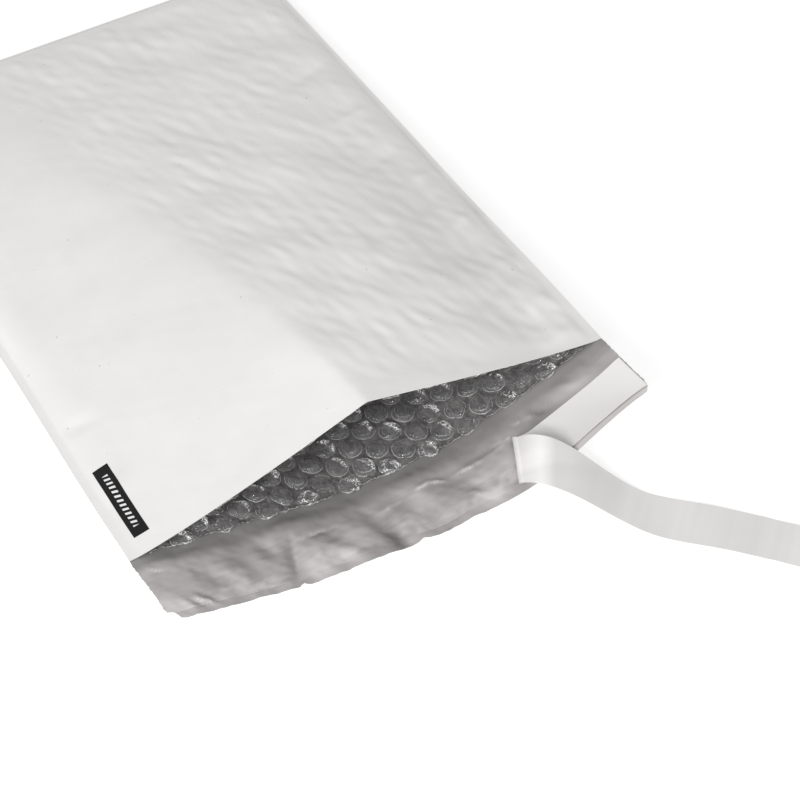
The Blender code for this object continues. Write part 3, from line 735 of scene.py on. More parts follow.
# %% Lattice of the bubbles
BUBBLE_DIAMETER, BUBBLE_HEIGHT, BUBBLE_SINK = 0.0094, 0.0034, 0.0003
LATTICE_STEP = BUBBLE_PITCH / math.sqrt(3)
SHEET_SIDE_INSET, SHEET_MOUTH_INSET, SHEET_END_INSET, SHEET_BASE = 0.005, 0.0006, 0.008, 0.0003
SHEET_COLUMNS = int((MAILER_WIDTH - 2 * (SEAM_MARGIN + SHEET_SIDE_INSET)) / LATTICE_STEP)
SHEET_HALF_WIDTH = SHEET_COLUMNS * LATTICE_STEP / 2
SHEET_ROWS = int((BODY_LENGTH - END_FOLD - SHEET_END_INSET - SHEET_MOUTH_INSET) / (BUBBLE_PITCH / 2))
SHEET_END = SHEET_MOUTH_INSET + SHEET_ROWS * BUBBLE_PITCH / 2
LINING_GAP, CRINKLE_HEIGHT, CRINKLE_REACH = 0.0003, 0.00025, 0.03
FIRST_BUBBLE_DEPTH, FIRST_BUBBLE_SHIFT, FIRST_ROW_END = 0.0020, 0.0016, 0.006


def lattice():
    """Sides and depths of the bubbles' centres on one panel."""
    centres = []
    for k in range(SHEET_ROWS):
        first = (SHEET_COLUMNS + 2) % 6 + 3 * (k % 2)
        for step in range(first % 6, 2 * SHEET_COLUMNS, 6):
            x = step * LATTICE_STEP / 2 - SHEET_HALF_WIDTH + FIRST_BUBBLE_SHIFT
            if abs(x) < SHEET_HALF_WIDTH - BUBBLE_DIAMETER * 0.4:
                centres.append((x / HALF_WIDTH, FIRST_BUBBLE_DEPTH + k * BUBBLE_PITCH / 2))
    return np.array(centres)


def lining_height(side, depth, upper):
    """Height of the base sheet's inner face on the front (upper) or the back panel."""
    across = side * HALF_WIDTH
    crinkle = CRINKLE_HEIGHT * waves(across, depth, 0.006, 41) * ease(1 - depth / CRINKLE_REACH)
    if upper:
        film = front_height(side, depth) + front_unevenness(across, depth) - SHOWN_FILM
        return film - LINING_GAP - SHEET_BASE - 0.5 * np.abs(crinkle)
    film = back_height(side, depth) + back_unevenness(across, depth)
    return np.maximum(film, 0.0) + SHOWN_FILM + LINING_GAP + SHEET_BASE + crinkle


print(len(lattice()), "bubbles on each panel")

# %% Finish of the base sheet
LINING_TINT = (1.0, 0.96, 0.95)
lining = Finish("lining_sheet")
flat = lining.flat()
crumple = lining.noise(flat, (330, 260, 300), 5.0, 0.6, 0.8)
streak = lining.noise(flat, (130, 420, 200), 3.0, 0.6, 1.2, turn=0.4)
_, down, _ = lining.split(flat)
tone = lining.blend(crumple.step(0.40, 0.74), grey(0.14, LINING_TINT), grey(0.33, LINING_TINT))
# Painted shade: the sheet is darker deeper in the pocket, away from the mouth.
lining.set(Base_Color=lining.blend(down.step(0.014, 0.055) * 0.30, tone, grey(0.05)))
lining.set(Roughness=streak * 0.2 + 0.10, Normal=lining.bump(crumple, 0.8, 0.0009), IOR=1.5)
print("lining finish:", len(lining.nodes), "nodes")


# %% Base sheets
def lining_sheet(name, upper):
    near, far = np.linspace(SHEET_MOUTH_INSET, 0.03, 30), np.linspace(0.03, SHEET_END, 90)
    depths = np.concatenate([near[:-1], far])
    inner = np.linspace(-1, 1, 131) * SHEET_HALF_WIDTH / HALF_WIDTH
    sides = inner[None, :] + ridge_side(depths)[:, None] * (1 - (inner / inner[-1]) ** 2)[None, :]
    depth = np.broadcast_to(depths[:, None], sides.shape)
    x, y = sides * half_width(depths)[:, None], MOUTH_Y + depth
    inner_face = np.stack([x, y, lining_height(sides, depth, upper)], -1)
    outer_face = inner_face + np.array([0, 0, SHEET_BASE if upper else -SHEET_BASE])
    faces = (outer_face, inner_face) if upper else (inner_face, outer_face)
    return shell(name, *faces, flat_places(depths, sides), [lining.material])


for name, upper in (("lining_front", True), ("lining_back", False)):
    sheet = lining_sheet(name, upper)
    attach(sheet, "root")
    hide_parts("bubble_lining")

# %% One bubble
def bubble_mesh(segments=16):
    """Dome of one unit across and one high, with its place along the profile as an attribute."""
    profile = [(0.505, 0.00, 0.0), (0.475, 0.06, 0.1), (0.455, 0.46, 0.3), (0.340, 0.87, 0.65)]
    turns = [2 * math.pi * i / segments for i in range(segments)]
    points = [(r * math.cos(turn), r * math.sin(turn), z) for r, z, _ in profile for turn in turns]
    points.append((0, 0, 1.0))
    last = (len(profile) - 1) * segments
    faces = [(row + i, row + (i + 1) % segments, row + segments + (i + 1) % segments, row + segments + i)
             for row in range(0, last, segments) for i in range(segments)]
    faces += [(last + i, last + (i + 1) % segments, len(points) - 1) for i in range(segments)]
    mesh = bpy.data.meshes.new("bubble")
    mesh.from_pydata(points, [], faces)
    mesh.shade_smooth()
    shares = [share for _, _, share in profile for _ in range(segments)] + [1.0]
    store(mesh, "profile", shares)
    return mesh


bubble = add_object("bubble", bubble_mesh())
print("bubble:", len(bubble.data.polygons), "faces")

# %% [markdown]
# ## Finish of the bubbles
#
# A clear bubble shows mostly by its light lines: the welded rim, the outline of its wall and a
# line inside it, all painted highlights, and dimmer deeper in the pocket as painted shade. Between
# them the film is thin, so the finish is see-through by Alpha, with painted shade on the side away
# from the lamp and small curled painted glints, white and glowing a little, on the side that faces
# it. Both sides are known from the dome's own shape, so they are stored as attributes and stay
# put in other views.

# %% Finish of the bubbles
clear = Finish("clear_bubbles")
place = clear.place()
share = clear.attribute("profile")
shaded, lit = clear.attribute("shaded"), clear.attribute("lit")
crumple = clear.noise(place, 430, 3.0, 0.5, 1.2)
fine = clear.noise(place, 1100, 3.0, 0.6, 0.6)
edge_on = clear.node("ShaderNodeLayerWeight", None, {"Blend": 0.5}, output="Facing")
# Painted highlights: the outline where the wall is seen edge-on, the welded rim and a line inside.
silhouette = edge_on.step(0.66, 0.86) * share.step(0.32, 0.42)
rim = (1 - share.step(0.10, 0.17)).maximum(silhouette)
inner_line = share.between(0.52, 0.60, 0.04) * crumple.step(0.46, 0.54)
curls = crumple.between(0.490, 0.515, 0.012) + crumple.between(0.61, 0.65, 0.015)
# Painted glints on the side towards the lamp, made white and glowing below.
glint = (lit.step(0.20, 0.5) * curls * fine.step(0.34, 0.46) * 1.6).clamped()
body_stops = [(0.0, 0.16), (0.20, 0.18), (0.45, 0.12), (1.0, 0.10)]
body = clear.node("ShaderNodeValToRGB", {"stops": body_stops}, {0: share})
_, world_y, _ = clear.split(place)
# Painted shade: the light lines are dimmer deeper in the pocket.
bright = 1 - world_y.step(MOUTH_Y + 0.012, MOUTH_Y + 0.055) * 0.4
light = (rim * (0.35 + fine * 0.9) + inner_line * 0.6).clamped() * bright
veil = light.maximum(body + shaded * 0.55)
# Painted shade on the side away from the lamp, under the painted light lines.
tone = clear.blend(light, clear.blend(shaded, grey(0.50), grey(0.04)), grey(0.58))
clear.set(Base_Color=clear.blend(glint, tone, grey(1.0)), Alpha=(veil + glint).clamped())
clear.set(Emission_Color=clear.blend(glint, grey(0.0), grey(1.0)), Emission_Strength=0.5)
clear.set(Roughness=crumple * 0.10 + 0.02, Normal=clear.bump(crumple, 0.8, 0.0012), IOR=1.9)
print("bubble finish:", len(clear.nodes), "nodes")

# %% [markdown]
# ## Setting the bubbles
#
# The tree takes the lattice as points and one dome, reads from each point how full its bubble is
# and which way it stands, and sets a scaled and turned dome there. It ends in real geometry with
# the finish on it, because the export drops instances.


# %% Node tree that sets the bubbles
FULL_TURN = 6.2832


def bubble_tree():
    tree = bpy.data.node_groups.new("bubbles_on_lattice", "GeometryNodeTree")
    for name, kind, value in (("Lattice", "NodeSocketGeometry", None), ("Bubble", "NodeSocketObject", None),
                              ("Diameter", "NodeSocketFloat", BUBBLE_DIAMETER),
                              ("Height", "NodeSocketFloat", BUBBLE_HEIGHT), ("Seed", "NodeSocketInt", 3),
                              ("Finish", "NodeSocketMaterial", None)):
        socket = tree.interface.new_socket(name, in_out="INPUT", socket_type=kind)
        if value is not None:
            socket.default_value = value
    tree.interface.new_socket("Bubbles", in_out="OUTPUT", socket_type="NodeSocketGeometry")

    def add(kind, settings=None, sockets=None):
        node = tree.nodes.new(kind)
        for key, value in (settings or {}).items():
            setattr(node, key, value)
        for key, value in (sockets or {}).items():
            if isinstance(value, bpy.types.NodeSocket):
                tree.links.new(value, node.inputs[key])
            else:
                node.inputs[key].default_value = value
        return node

    given = add("NodeGroupInput").outputs
    named = "GeometryNodeInputNamedAttribute"
    fullness = add(named, {"data_type": "FLOAT"}, {"Name": "fullness"}).outputs[0]
    facing = add(named, {"data_type": "FLOAT_VECTOR"}, {"Name": "facing"}).outputs[0]
    dome = add("GeometryNodeObjectInfo", None, {"Object": given["Bubble"]}).outputs["Geometry"]
    height = add("ShaderNodeMath", {"operation": "MULTIPLY"}, {0: given["Height"], 1: fullness}).outputs[0]
    size = {0: given["Diameter"], 1: given["Diameter"], 2: height}
    scale = add("ShaderNodeCombineXYZ", None, size).outputs[0]
    limits = {2: 0.0, 3: FULL_TURN, "Seed": given["Seed"]}
    spin = add("FunctionNodeRandomValue", {"data_type": "FLOAT"}, limits)
    spun = add("FunctionNodeAxisAngleToRotation", None, {0: (0, 0, 1), 1: spin.outputs[1]}).outputs[0]
    upright = add("FunctionNodeAlignRotationToVector", {"axis": "Z"}, {"Vector": facing}).outputs[0]
    turned = add("FunctionNodeRotateRotation", {"rotation_space": "LOCAL"}, {0: upright, 1: spun}).outputs[0]
    each = {"Points": given["Lattice"], "Instance": dome, "Rotation": turned, "Scale": scale}
    placed = add("GeometryNodeInstanceOnPoints", None, each).outputs[0]
    plain = add("GeometryNodeRealizeInstances", None, {0: placed}).outputs[0]
    finish = {"Geometry": plain, "Material": given["Finish"]}
    add("NodeGroupOutput", None, {0: add("GeometryNodeSetMaterial", None, finish).outputs[0]})
    return tree


BUBBLE_TREE = bubble_tree()
print(len(BUBBLE_TREE.nodes), "nodes in the tree")

# %% [markdown]
# ## Bubbles on both panels
#
# Each bubble stands square to its sheet. Most are a little over half full, a few are limp, and
# none is higher than half the room between the panels. Those of the first row were crushed by
# the knife: they are flatter and poke out a little past the cut on the back panel. After the
# tree has set them, their points are moved by soft waves, so that no two bubbles are alike.

# %% How each bubble stands
SLOPE_REACH, BUBBLE_MARGIN, LIMP_SHARE = 0.003, 0.0002, 0.06


def surface_up(side, depth, upper):
    """Direction in which a bubble stands, from the slopes of its base sheet."""
    step = SLOPE_REACH
    run_x = 2 * step * half_width(depth) / HALF_WIDTH
    slope_x = (lining_height(side + step / HALF_WIDTH, depth, upper)
               - lining_height(side - step / HALF_WIDTH, depth, upper)) / run_x
    near, far = np.maximum(depth - step, 0.0), depth + step
    slope_y = (lining_height(side, far, upper) - lining_height(side, near, upper)) / (far - near)
    up = np.stack([-slope_x, -slope_y, np.ones_like(slope_x)], -1)
    up /= np.linalg.norm(up, axis=1)[:, None]
    return -up if upper else up


def how_full(side, depth, chance):
    """Share of the full height for each bubble, as far as the two panels leave room."""
    room = (lining_height(side, depth, True) - lining_height(side, depth, False)) / 2 - BUBBLE_MARGIN
    fullness = np.clip(chance.normal(0.56, 0.08, len(side)), 0.40, 0.80)
    limp = chance.random(len(side)) < LIMP_SHARE
    fullness[limp] = chance.uniform(0.2, 0.4, limp.sum())
    fullness = np.where(depth < FIRST_ROW_END, chance.uniform(0.30, 0.55, len(side)), fullness)
    return np.minimum(fullness, np.maximum(room, BUBBLE_MARGIN) / BUBBLE_HEIGHT)


print("a bubble in the middle stands along", surface_up(np.zeros(1), np.array([0.1]), False).round(3))

# %% Crushed and crumpled bubbles
POKE_HALF_WIDTH, POKE_LENGTH, CUT_MARGIN, DOME_SHIFT, DOME_DENT = 0.0034, 0.0019, 0.0005, 0.00018, 0.00028


def edge_bulge(x):
    """How far the crushed bubbles of the first row poke out past the cut, on the back panel."""
    chance = np.random.default_rng(66)
    total = np.zeros(np.shape(x))
    for side, depth in lattice():
        if depth < FIRST_ROW_END:
            reach = POKE_HALF_WIDTH * chance.uniform(0.7, 1.2)
            total += POKE_LENGTH * chance.uniform(0.35, 1.0) * np.exp(-((x - side * CHORDS[0]) / reach) ** 4)
    return total


def crumple_domes(place, share, upper, seed):
    """Moves the points a little, keeps them behind the cut and on the inner side of their sheet."""
    x, y = place[:, 0].copy(), place[:, 1].copy()
    place[:, 0] += DOME_SHIFT * waves(x, y, 0.0075, seed + 70)
    place[:, 1] += DOME_SHIFT * waves(x, y, 0.0075, seed + 80)
    dent = DOME_DENT * waves(x, y, 0.0042, seed + 90) * share
    place[:, 2] += -dent if upper else dent
    cut = SHEET_MOUTH_INSET + CUT_MARGIN - (0.0 if upper else 1.0) * edge_bulge(place[:, 0])
    place[:, 1] = np.maximum(place[:, 1], MOUTH_Y + cut)
    depth = place[:, 1] - MOUTH_Y
    sheet = lining_height(place[:, 0] / half_width(depth), np.maximum(depth, 0.0), upper)
    place[:, 2] = np.minimum(place[:, 2], sheet - BUBBLE_SINK) if upper else np.maximum(place[:, 2], sheet)


print(f"bubbles poke out by up to {1000 * edge_bulge(np.linspace(-0.1, 0.1, 500)).max():.1f} mm")

# %% Bubbles on both panels
TO_LAMP, FROM_LAMP = (0.88, 0.48), (-0.80, -0.60)


def set_on_lattice(name, points, fullness, facing, seed):
    """Object with one dome on each point, made by the node tree and then turned into a mesh."""
    mesh = bpy.data.meshes.new(name)
    mesh.from_pydata(points.tolist(), [], [])
    store(mesh, "fullness", fullness)
    mesh.attributes.new("facing", "FLOAT_VECTOR", "POINT").data.foreach_set("vector", facing.ravel())
    obj = add_object(name, mesh)
    modifier = obj.modifiers.new("bubbles", "NODES")
    modifier.node_group = BUBBLE_TREE
    items = BUBBLE_TREE.interface.items_tree
    inputs = {item.name: item.identifier for item in items if item.in_out == "INPUT"}
    modifier[inputs["Bubble"]] = bubble
    modifier[inputs["Seed"]] = seed
    modifier[inputs["Finish"]] = clear.material
    made = bpy.data.meshes.new_from_object(obj.evaluated_get(bpy.context.evaluated_depsgraph_get()))
    obj.modifiers.remove(modifier)
    obj.data = made
    return obj


def bubbles(name, upper, seed):
    """Bubbles of one panel. The values lit and shaded say where a dome's finish paints glints and shade."""
    side, depth = lattice().T
    chance = np.random.default_rng(seed)
    fullness = how_full(side, depth, chance)
    points = np.stack([side * half_width(depth), MOUTH_Y + depth, lining_height(side, depth, upper)], -1)
    obj = set_on_lattice(name, points, fullness, surface_up(side, depth, upper), seed)
    made = obj.data
    place = np.empty(3 * len(made.vertices), np.float32)
    made.vertices.foreach_get("co", place)
    place = place.reshape(-1, 3)
    share = np.empty(len(made.vertices), np.float32)
    made.attributes["profile"].data.foreach_get("value", share)
    each = len(place) // len(points)
    offset = (place[:, :2] - np.repeat(points[:, :2], each, 0)) / (BUBBLE_DIAMETER / 2)
    strength = np.repeat(chance.uniform(0, 1, (len(points), 2)), each, 0)
    high = ease((share - 0.15) / 0.25) * ease((1.0 - share) / 0.3)
    # Painted glints go on each dome's side towards the lamp and on the crushed first row; painted shade on
    # the side away from it.
    lit = clamp(offset @ TO_LAMP * 2.0 + 0.1) * high * clamp(1.5 * strength[:, 0] - 0.2)
    lit = np.maximum(lit, 0.5 * high * (np.repeat(depth, each) < FIRST_ROW_END) * strength[:, 1])
    store(made, "lit", clamp(lit))
    store(made, "shaded", clamp(offset @ FROM_LAMP * 1.3) * high * (0.3 + 0.7 * strength[:, 1]))
    crumple_domes(place, share, upper, seed)
    made.vertices.foreach_set("co", place.ravel())
    print(f"{name}: {len(made.polygons)} faces")
    return obj


for name, upper, seed in (("bubbles_front", True, 3), ("bubbles_back", False, 4)):
    piece = bubbles(name, upper, seed)
    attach(piece, "root")
    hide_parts("bubble_lining")
bpy.data.objects.remove(bubble)

# %% [markdown]
# ## The lining's cut edge
#
# The lining ends just behind the mouth's line, where the knife squeezed and crinkled it. A narrow
# ribbon of the same clear film lies there, with a ragged outline and small sharp crinkles. It
# swells where a crushed bubble pokes out. Its finish paints a thin light line along it as a
# painted highlight, and white sparks that glow a little as painted glints on the crushed bubbles.

# %% Cut edge
EDGE_COLUMNS, EDGE_FILM, EDGE_FLAT_WIDTH = 620, 0.0001, 0.003
edge_across = np.linspace(-1, 1, EDGE_COLUMNS) * SHEET_HALF_WIDTH
poke = edge_bulge(edge_across * CHORDS[0] / HALF_WIDTH)
ragged = 0.00014 * waves(edge_across, 0.0, 0.0021, 61) + 0.00030 * waves(edge_across, 0.0, 0.009, 62)
start = ragged - poke
stop = 0.0006 - 0.7 * poke + 0.0002 * waves(edge_across, 0.0, 0.004, 63)
edge_share = np.linspace(0, 1, 6)[:, None]
edge_depth = SHEET_MOUTH_INSET + start[None, :] * (1 - edge_share) + stop[None, :] * edge_share
edge_sides = np.broadcast_to(edge_across[None, :] / HALF_WIDTH, edge_depth.shape)
crinkles = 0.0003 * np.sin(math.pi * edge_share) * (1.0 + waves(edge_across[None, :], 0.0, 0.0016, 64) * 0.7)
swollen = 0.0006 * (poke / POKE_LENGTH)[None, :] * np.sin(math.pi * edge_share ** 0.7)
edge_height = lining_height(edge_sides, np.maximum(edge_depth, 0.0), False)
edge_height = edge_height + np.maximum(crinkles, 0) + swollen
edge_top = np.stack([edge_sides * CHORDS[0], MOUTH_Y + edge_depth, edge_height], -1)
edge_flat = flat_places(edge_share[:, 0] * EDGE_FLAT_WIDTH, edge_sides)
frill = Finish("crinkled_edge")
flat = frill.flat()
_, down, _ = frill.split(flat)
crushed = frill.attribute("crushed")
crinkle = frill.noise(flat, (1000, 700, 700), 5.0, 0.65, 1.0)
# Painted highlight: a thin light line along the cut; painted glints, white and glowing, where crushed
# bubbles poke out.
line = (1 - down.step(0.0005, 0.0010)) * (crinkle * 1.4 - 0.25)
sparkle = crushed * crinkle.step(0.52, 0.58)
frill.set(Base_Color=frill.blend((line + sparkle).clamped(), grey(0.20, FILM_TINT), grey(0.62)))
sparks = frill.blend((sparkle * 1.2).clamped(), grey(0.0), grey(1.0))
frill.set(Emission_Color=sparks, Emission_Strength=0.35)
frill.set(Roughness=0.12, Normal=frill.bump(crinkle, 0.8, 0.0010))
edge_under = edge_top - np.array([0, 0, EDGE_FILM])
cut_edge = shell("lining_cut_edge", edge_top, edge_under, edge_flat, [frill.material])
paint(cut_edge, "crushed", np.broadcast_to(poke / POKE_LENGTH, edge_sides.shape))
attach(cut_edge, "root")
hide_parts("bubble_lining")

# %% [markdown]
# ## The adhesive band
#
# A band of tacky hot-melt crosses the flap. It is clear and very glossy, so it shows as a
# smoother and shinier stripe of the grey film; its colour carries the flap's painted sheen and
# soft painted sheen patches on its outer part. It is a thin shell that follows the flap.

# %% Adhesive band
BAND_INSET, BAND_WIDTH, BAND_THICKNESS, BAND_LIFT, CONTACT_GAP = 0.0132, 0.019, 0.0001, 0.00005, 0.0003

tack = Finish("tacky_adhesive")
flat = tack.flat()
flow = tack.noise(flat, (90, 420, 200), 4.0, 0.55, 0.5)
sheen_patches = tack.noise(flat, (70, 110, 100), 3.0, 0.5, 0.9, turn=0.5)
_, down, _ = tack.split(flat)
outward = 1 - down.step(-0.030, -0.014)
# Painted sheen of the flap, plus soft painted sheen patches on the band's outer part.
shine = tack.attribute("sheen") + flow * 0.5 - 0.25
shine = shine + sheen_patches.step(0.40, 0.62) * outward * 0.60 - 0.10
tone = tack.blend((shine * 0.5 + 0.5).clamped(), GREY_IN_SHADE, GREY_IN_LIGHT)
tack.set(Base_Color=tone, Roughness=flow * 0.12 + 0.10)
tack.set(Normal=tack.bump(flow, 0.15, 0.0005), IOR=1.5)


def flap_points(depths, sides, lift):
    points = film_points(depths, sides, back_or_flap_height, back_unevenness)
    points[..., 2] = np.maximum(points[..., 2], 0.0) + SHOWN_FILM + lift
    return points


band_depths = np.linspace(-BAND_INSET - BAND_WIDTH, -BAND_INSET, 22)
band_sides = columns_at(np.zeros(len(band_depths)), 175)
band_under = flap_points(band_depths, band_sides, BAND_LIFT)
band_flat = flat_places(band_depths, band_sides)
band_top = band_under + np.array([0, 0, BAND_THICKNESS])
adhesive = shell("adhesive_band", band_top, band_under, band_flat, [tack.material])
paint(adhesive, "sheen", flap_sheen(band_flat[..., 0], band_flat[..., 1]))
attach(adhesive, "root")
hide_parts("adhesive_strip")

# %% [markdown]
# ## The release liner
#
# The liner is a paper strip of fixed length. It is still stuck on the right part of the band,
# folds back on itself along a skewed line, and runs down to the table. Each point of the strip
# follows from its length along the strip and its place across it, as in the part's source. The
# mesh is finest round the fold. The paper's colour has painted light on the curl, painted shade
# down the slope, and is painted lighter where it is stuck, against the returning strip's shade.

# %% Sizes of the liner
LINER_THICKNESS, LINER_LENGTH, LINER_END_INSET = 0.00025, 0.2090, 0.0008
LINER_STUCK_LENGTH, LINER_FOLD_SKEW, LINER_FOLD_RADIUS = 0.0515, math.radians(24.6), 0.0018
LINER_RISE_SLOPE, LINER_TWIST, LINER_DROP_LENGTH, LINER_CLEARANCE = 0.85, 0.22, 0.057, 0.0005
LINER_SWAY, LINER_SWAY_LENGTH, LINER_WAVE_HEIGHT, LINER_WAVE_LENGTH = 0.0034, 0.100, 0.0012, 0.046
LINER_EDGE_SLOPE, LINER_CONTACT_SOFTNESS, LINER_LOWEST, SHOWN_PAPER = 1.2, 0.0008, 0.0001, 0.00018
SINE, COSINE = math.sin(LINER_FOLD_SKEW), math.cos(LINER_FOLD_SKEW)
print("liner's length, width and stuck length:", LINER_LENGTH, BAND_WIDTH, LINER_STUCK_LENGTH)


def flap_top_height(x, y):
    """Height on the flap's upper face under a point, carried on level beside the flap."""
    side = clamp(x / CHORDS[0], -1, 1)
    depth = clamp(y - MOUTH_Y, -FLAP_LENGTH, 0)
    film = flap_height(side, depth) + back_unevenness(side * HALF_WIDTH, depth)
    return np.maximum(film, 0) + SHOWN_FILM


# %% Shape of the liner
def liner_points(length, across):
    """Middle surface of the strip for arrays of lengths and of places across it."""
    right_edge = CHORDS[0] - LINER_END_INSET
    skew = (across - BAND_WIDTH / 2) * SINE / COSINE
    remain = (LINER_LENGTH - length) / (LINER_LENGTH - LINER_STUCK_LENGTH)
    stuck = length <= LINER_STUCK_LENGTH
    length = length + np.where(stuck, skew * length / LINER_STUCK_LENGTH, skew * clamp(3 * remain - 2))
    past = (length - LINER_STUCK_LENGTH) * COSINE - (across - BAND_WIDTH / 2) * SINE
    x, y = right_edge - length, MOUTH_Y - BAND_INSET - across
    stack = CONTACT_GAP + BAND_THICKNESS + CONTACT_GAP + LINER_THICKNESS / 2

    def stuck_height(x, y):
        return flap_top_height(x, y) + stack

    fold_x, fold_y = x + COSINE * past, y - SINE * past
    fold_height = stuck_height(fold_x, fold_y)
    turn = clamp(past / LINER_FOLD_RADIUS, 0, math.pi)
    bend = LINER_FOLD_RADIUS * np.sin(turn)
    half_turn = math.pi * LINER_FOLD_RADIUS
    run = np.maximum(past - half_turn, 0) / COSINE
    share = clamp(run / LINER_DROP_LENGTH)
    stay = 2 * share ** 3 - 3 * share ** 2 + 1
    slope = LINER_RISE_SLOPE + LINER_TWIST * (1 - 2 * across / BAND_WIDTH)
    rise = (share ** 3 - 2 * share ** 2 + share) * LINER_DROP_LENGTH * slope
    floor_run = np.maximum(0.0, run - LINER_DROP_LENGTH)
    free = (fold_height + 2 * LINER_FOLD_RADIUS) * stay + rise + LINER_THICKNESS / 2 * (1 - stay)
    free = free + LINER_WAVE_HEIGHT * np.sin(math.pi * floor_run / LINER_WAVE_LENGTH) ** 2
    sway = LINER_SWAY * np.sin(math.pi * clamp(run / LINER_SWAY_LENGTH))
    free_x, free_y = fold_x + COSINE * (past - half_turn), fold_y - SINE * (past - half_turn)
    free_x = free_x - sway * math.sin(2 * LINER_FOLD_SKEW)
    free_y = free_y - sway * math.cos(2 * LINER_FOLD_SKEW)
    beyond = np.maximum(0.0, MOUTH_Y - FLAP_LENGTH - free_y)
    needed = flap_top_height(free_x, free_y) + CONTACT_GAP + LINER_CLEARANCE - LINER_EDGE_SLOPE * beyond
    over = (free_y <= MOUTH_Y) & (np.abs(free_x) <= CHORDS[0])
    spare = free - needed
    free = np.where(over, needed + (spare + np.hypot(spare, LINER_CONTACT_SOFTNESS)) / 2, free)
    bent_height = fold_height + LINER_FOLD_RADIUS * (1 - np.cos(turn))
    parts = [(x, fold_x - COSINE * bend, free_x), (y, fold_y + SINE * bend, free_y),
             (stuck_height(x, y), bent_height, free)]
    before, in_fold = past <= 0, (past > 0) & (past <= half_turn)
    return np.stack([np.select([before, in_fold], [flat, bent], loose) for flat, bent, loose in parts], -1)


free_end = liner_points(np.array([LINER_LENGTH]), np.array([BAND_WIDTH / 2]))[0]
print("middle of the liner's free end:", free_end.round(3))

# %% Finish of the liner
PAPER_TINT = (1, 0.985, 0.970)
paper = Finish("liner_paper")
flat = paper.flat()
fibre = paper.noise(flat, (500, 1300, 800), 4.0)
cloud = paper.noise(flat, (40, 60, 50), 3.0)
along, _, _ = paper.split(flat)
band = paper.noise(flat, (110, 6, 50), 2.0).step(0.30, 0.70)
# Painted shade down the slope, painted light on the curl, and the stuck part painted lighter.
descent = along.between(0.062, 0.088, 0.012)
curl = along.between(0.0545, 0.066, 0.006)
tone = paper.blend(cloud * 0.4 + band * 0.6, grey(0.68, PAPER_TINT), grey(0.78, PAPER_TINT))
tone = paper.blend(descent * 0.6, tone, grey(0.60, PAPER_TINT))
tone = paper.blend(curl, tone, grey(0.90, PAPER_TINT))
paper.set(Base_Color=paper.blend(1 - along.step(0.050, 0.052), tone, grey(0.82, PAPER_TINT)))
paper.set(Roughness=fibre * 0.15 + 0.42, Normal=paper.bump(fibre, 0.15, 0.0003))
print("paper finish:", len(paper.nodes), "nodes")

# %% Liner
FINE_FROM, FINE_TO = 0.044, 0.064
lengths = np.concatenate([np.linspace(0, FINE_FROM, 45)[:-1], np.linspace(FINE_FROM, FINE_TO, 90)[:-1],
                          np.linspace(FINE_TO, LINER_LENGTH, 110)])
widths = np.linspace(0, BAND_WIDTH, 19)
length_grid, width_grid = np.meshgrid(lengths, widths, indexing="ij")
middle = liner_points(length_grid, width_grid)
middle[..., 2] = np.maximum(middle[..., 2], LINER_LOWEST)
NUDGE = BAND_WIDTH / 50
run = liner_points(length_grid + NUDGE, width_grid) - liner_points(length_grid - NUDGE, width_grid)
width = liner_points(length_grid, width_grid + NUDGE) - liner_points(length_grid, width_grid - NUDGE)
normal = np.cross(run, width)
normal /= np.linalg.norm(normal, axis=-1)[..., None]
half_paper = normal * SHOWN_PAPER / 2
liner_flat = np.stack([length_grid, width_grid], -1)
liner = shell("liner_strip", middle - half_paper, middle + half_paper, liner_flat, [paper.material])
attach(liner, "root")
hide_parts("release_liner")

# %% [markdown]
# ## The printed bar
#
# A black field is printed beside the left seam. It is ink, so its mesh only lies on the film. Its
# finish paints a plain row of slanted white marks in it.

# %% Finish of the print
ink = Finish("black_print")
along, across, _ = ink.split(ink.flat())
slanted = (along + across * 0.35) * (1 / 0.0023)
stripe = slanted.math("FRACT", slanted)
marks = stripe.between(0.2, 0.6, 0.05) * across.between(0.0022, 0.0044, 0.00012)
marks = marks * along.between(0.0045, 0.0320, 0.0001)
worn = ink.noise(ink.flat(), 700, 4.0)
ink.set(Base_Color=ink.blend(marks, ink.blend(worn.step(0.3, 0.7), grey(0.004), grey(0.009)), grey(0.75)))
ink.set(Roughness=worn * 0.2 + 0.45, Specular_IOR_Level=0.25)
print("print finish:", len(ink.nodes), "nodes")

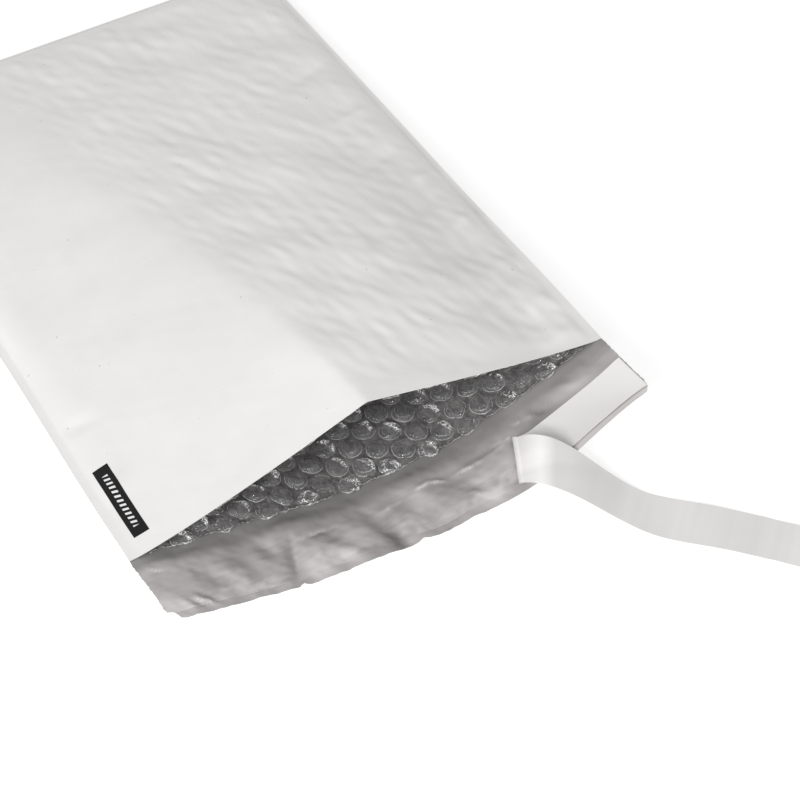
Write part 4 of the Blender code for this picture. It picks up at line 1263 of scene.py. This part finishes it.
# %% Printed bar
BAR_WIDTH, BAR_LENGTH, BAR_MOUTH_DISTANCE, BAR_SEAM_DISTANCE = 0.0066, 0.0365, 0.0085, 0.0062
BAR_LIFT, BAR_THICKNESS = np.array([0, 0, 0.00003]), np.array([0, 0, 0.00006])
bar_lengths, bar_widths = np.linspace(0, BAR_LENGTH, 60), np.linspace(0, BAR_WIDTH, 14)
bar_sides = -1 + (BAR_SEAM_DISTANCE + bar_widths[None, :]) / HALF_WIDTH + np.zeros((60, 1))
bar_depths = BAR_MOUTH_DISTANCE + bar_lengths
bar_under = BAR_LIFT + film_points(bar_depths, bar_sides, front_height, front_unevenness)
bar_flat = np.stack(np.meshgrid(bar_lengths, bar_widths, indexing="ij"), -1)
bar = shell("print_field", bar_under + BAR_THICKNESS, bar_under, bar_flat, [ink.material])
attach(bar, "root")
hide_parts("printed_bar")

# %% [markdown]
# ## Table and light
#
# The mailer is photographed on white with no shadow to speak of. A pale floor under a bright sky
# does that: the sky fills every shadow, the floor glows a little by itself, and one large soft
# lamp at the left makes the left half of the tent lighter than the right one. A small lamp in
# front gives the bubbles and the adhesive their glints.

# %% Floor
pale = Finish("pale_floor")
fleck = pale.noise(pale.place(), 40, 2.0)
pale.set(Base_Color=pale.blend(fleck, grey(0.75), grey(0.78)), Roughness=0.8)
pale.set(Emission_Color=grey(1.0), Emission_Strength=0.40)
FLOOR_HALF, FLOOR_HEIGHT = 4, -0.0002
corners = [(FLOOR_HALF * x, FLOOR_HALF * y, FLOOR_HEIGHT) for x, y in ((-1, -1), (1, -1), (1, 1), (-1, 1))]
floor_mesh = bpy.data.meshes.new("floor")
floor_mesh.from_pydata(corners, [], [(0, 1, 2, 3)])
floor_mesh.materials.append(pale.material)
floor = add_object("floor", floor_mesh)
print("floor at height", FLOOR_HEIGHT)

# %% Sky
world = bpy.data.worlds.new("studio")
world.use_nodes = True
bpy.context.scene.world = world
sky = world.node_tree.nodes["Background"]
sky.inputs["Color"].default_value = (1.0, 1.0, 1.0, 1)
sky.inputs["Strength"].default_value = 0.68
print("sky:", world.name)


# %% Lamps
def lamp(name, place, target, size, power):
    data = bpy.data.lights.new(name, "AREA")
    data.shape = "RECTANGLE"
    data.size, data.size_y = size
    data.energy = power
    obj = add_object(name, data)
    obj.location = place
    obj.rotation_mode = "QUATERNION"
    obj.rotation_quaternion = (Vector(target) - Vector(place)).to_track_quat("-Z", "Y")


lamp("key", (-0.74, -0.60, 0.66), (0, -0.08, 0.02), (0.45, 0.45), 5.4)
lamp("glint", (-0.35, -1.30, 0.70), (0, -0.15, 0.02), (0.10, 0.10), 2.2)
bpy.context.scene.view_settings.view_transform = "Standard"
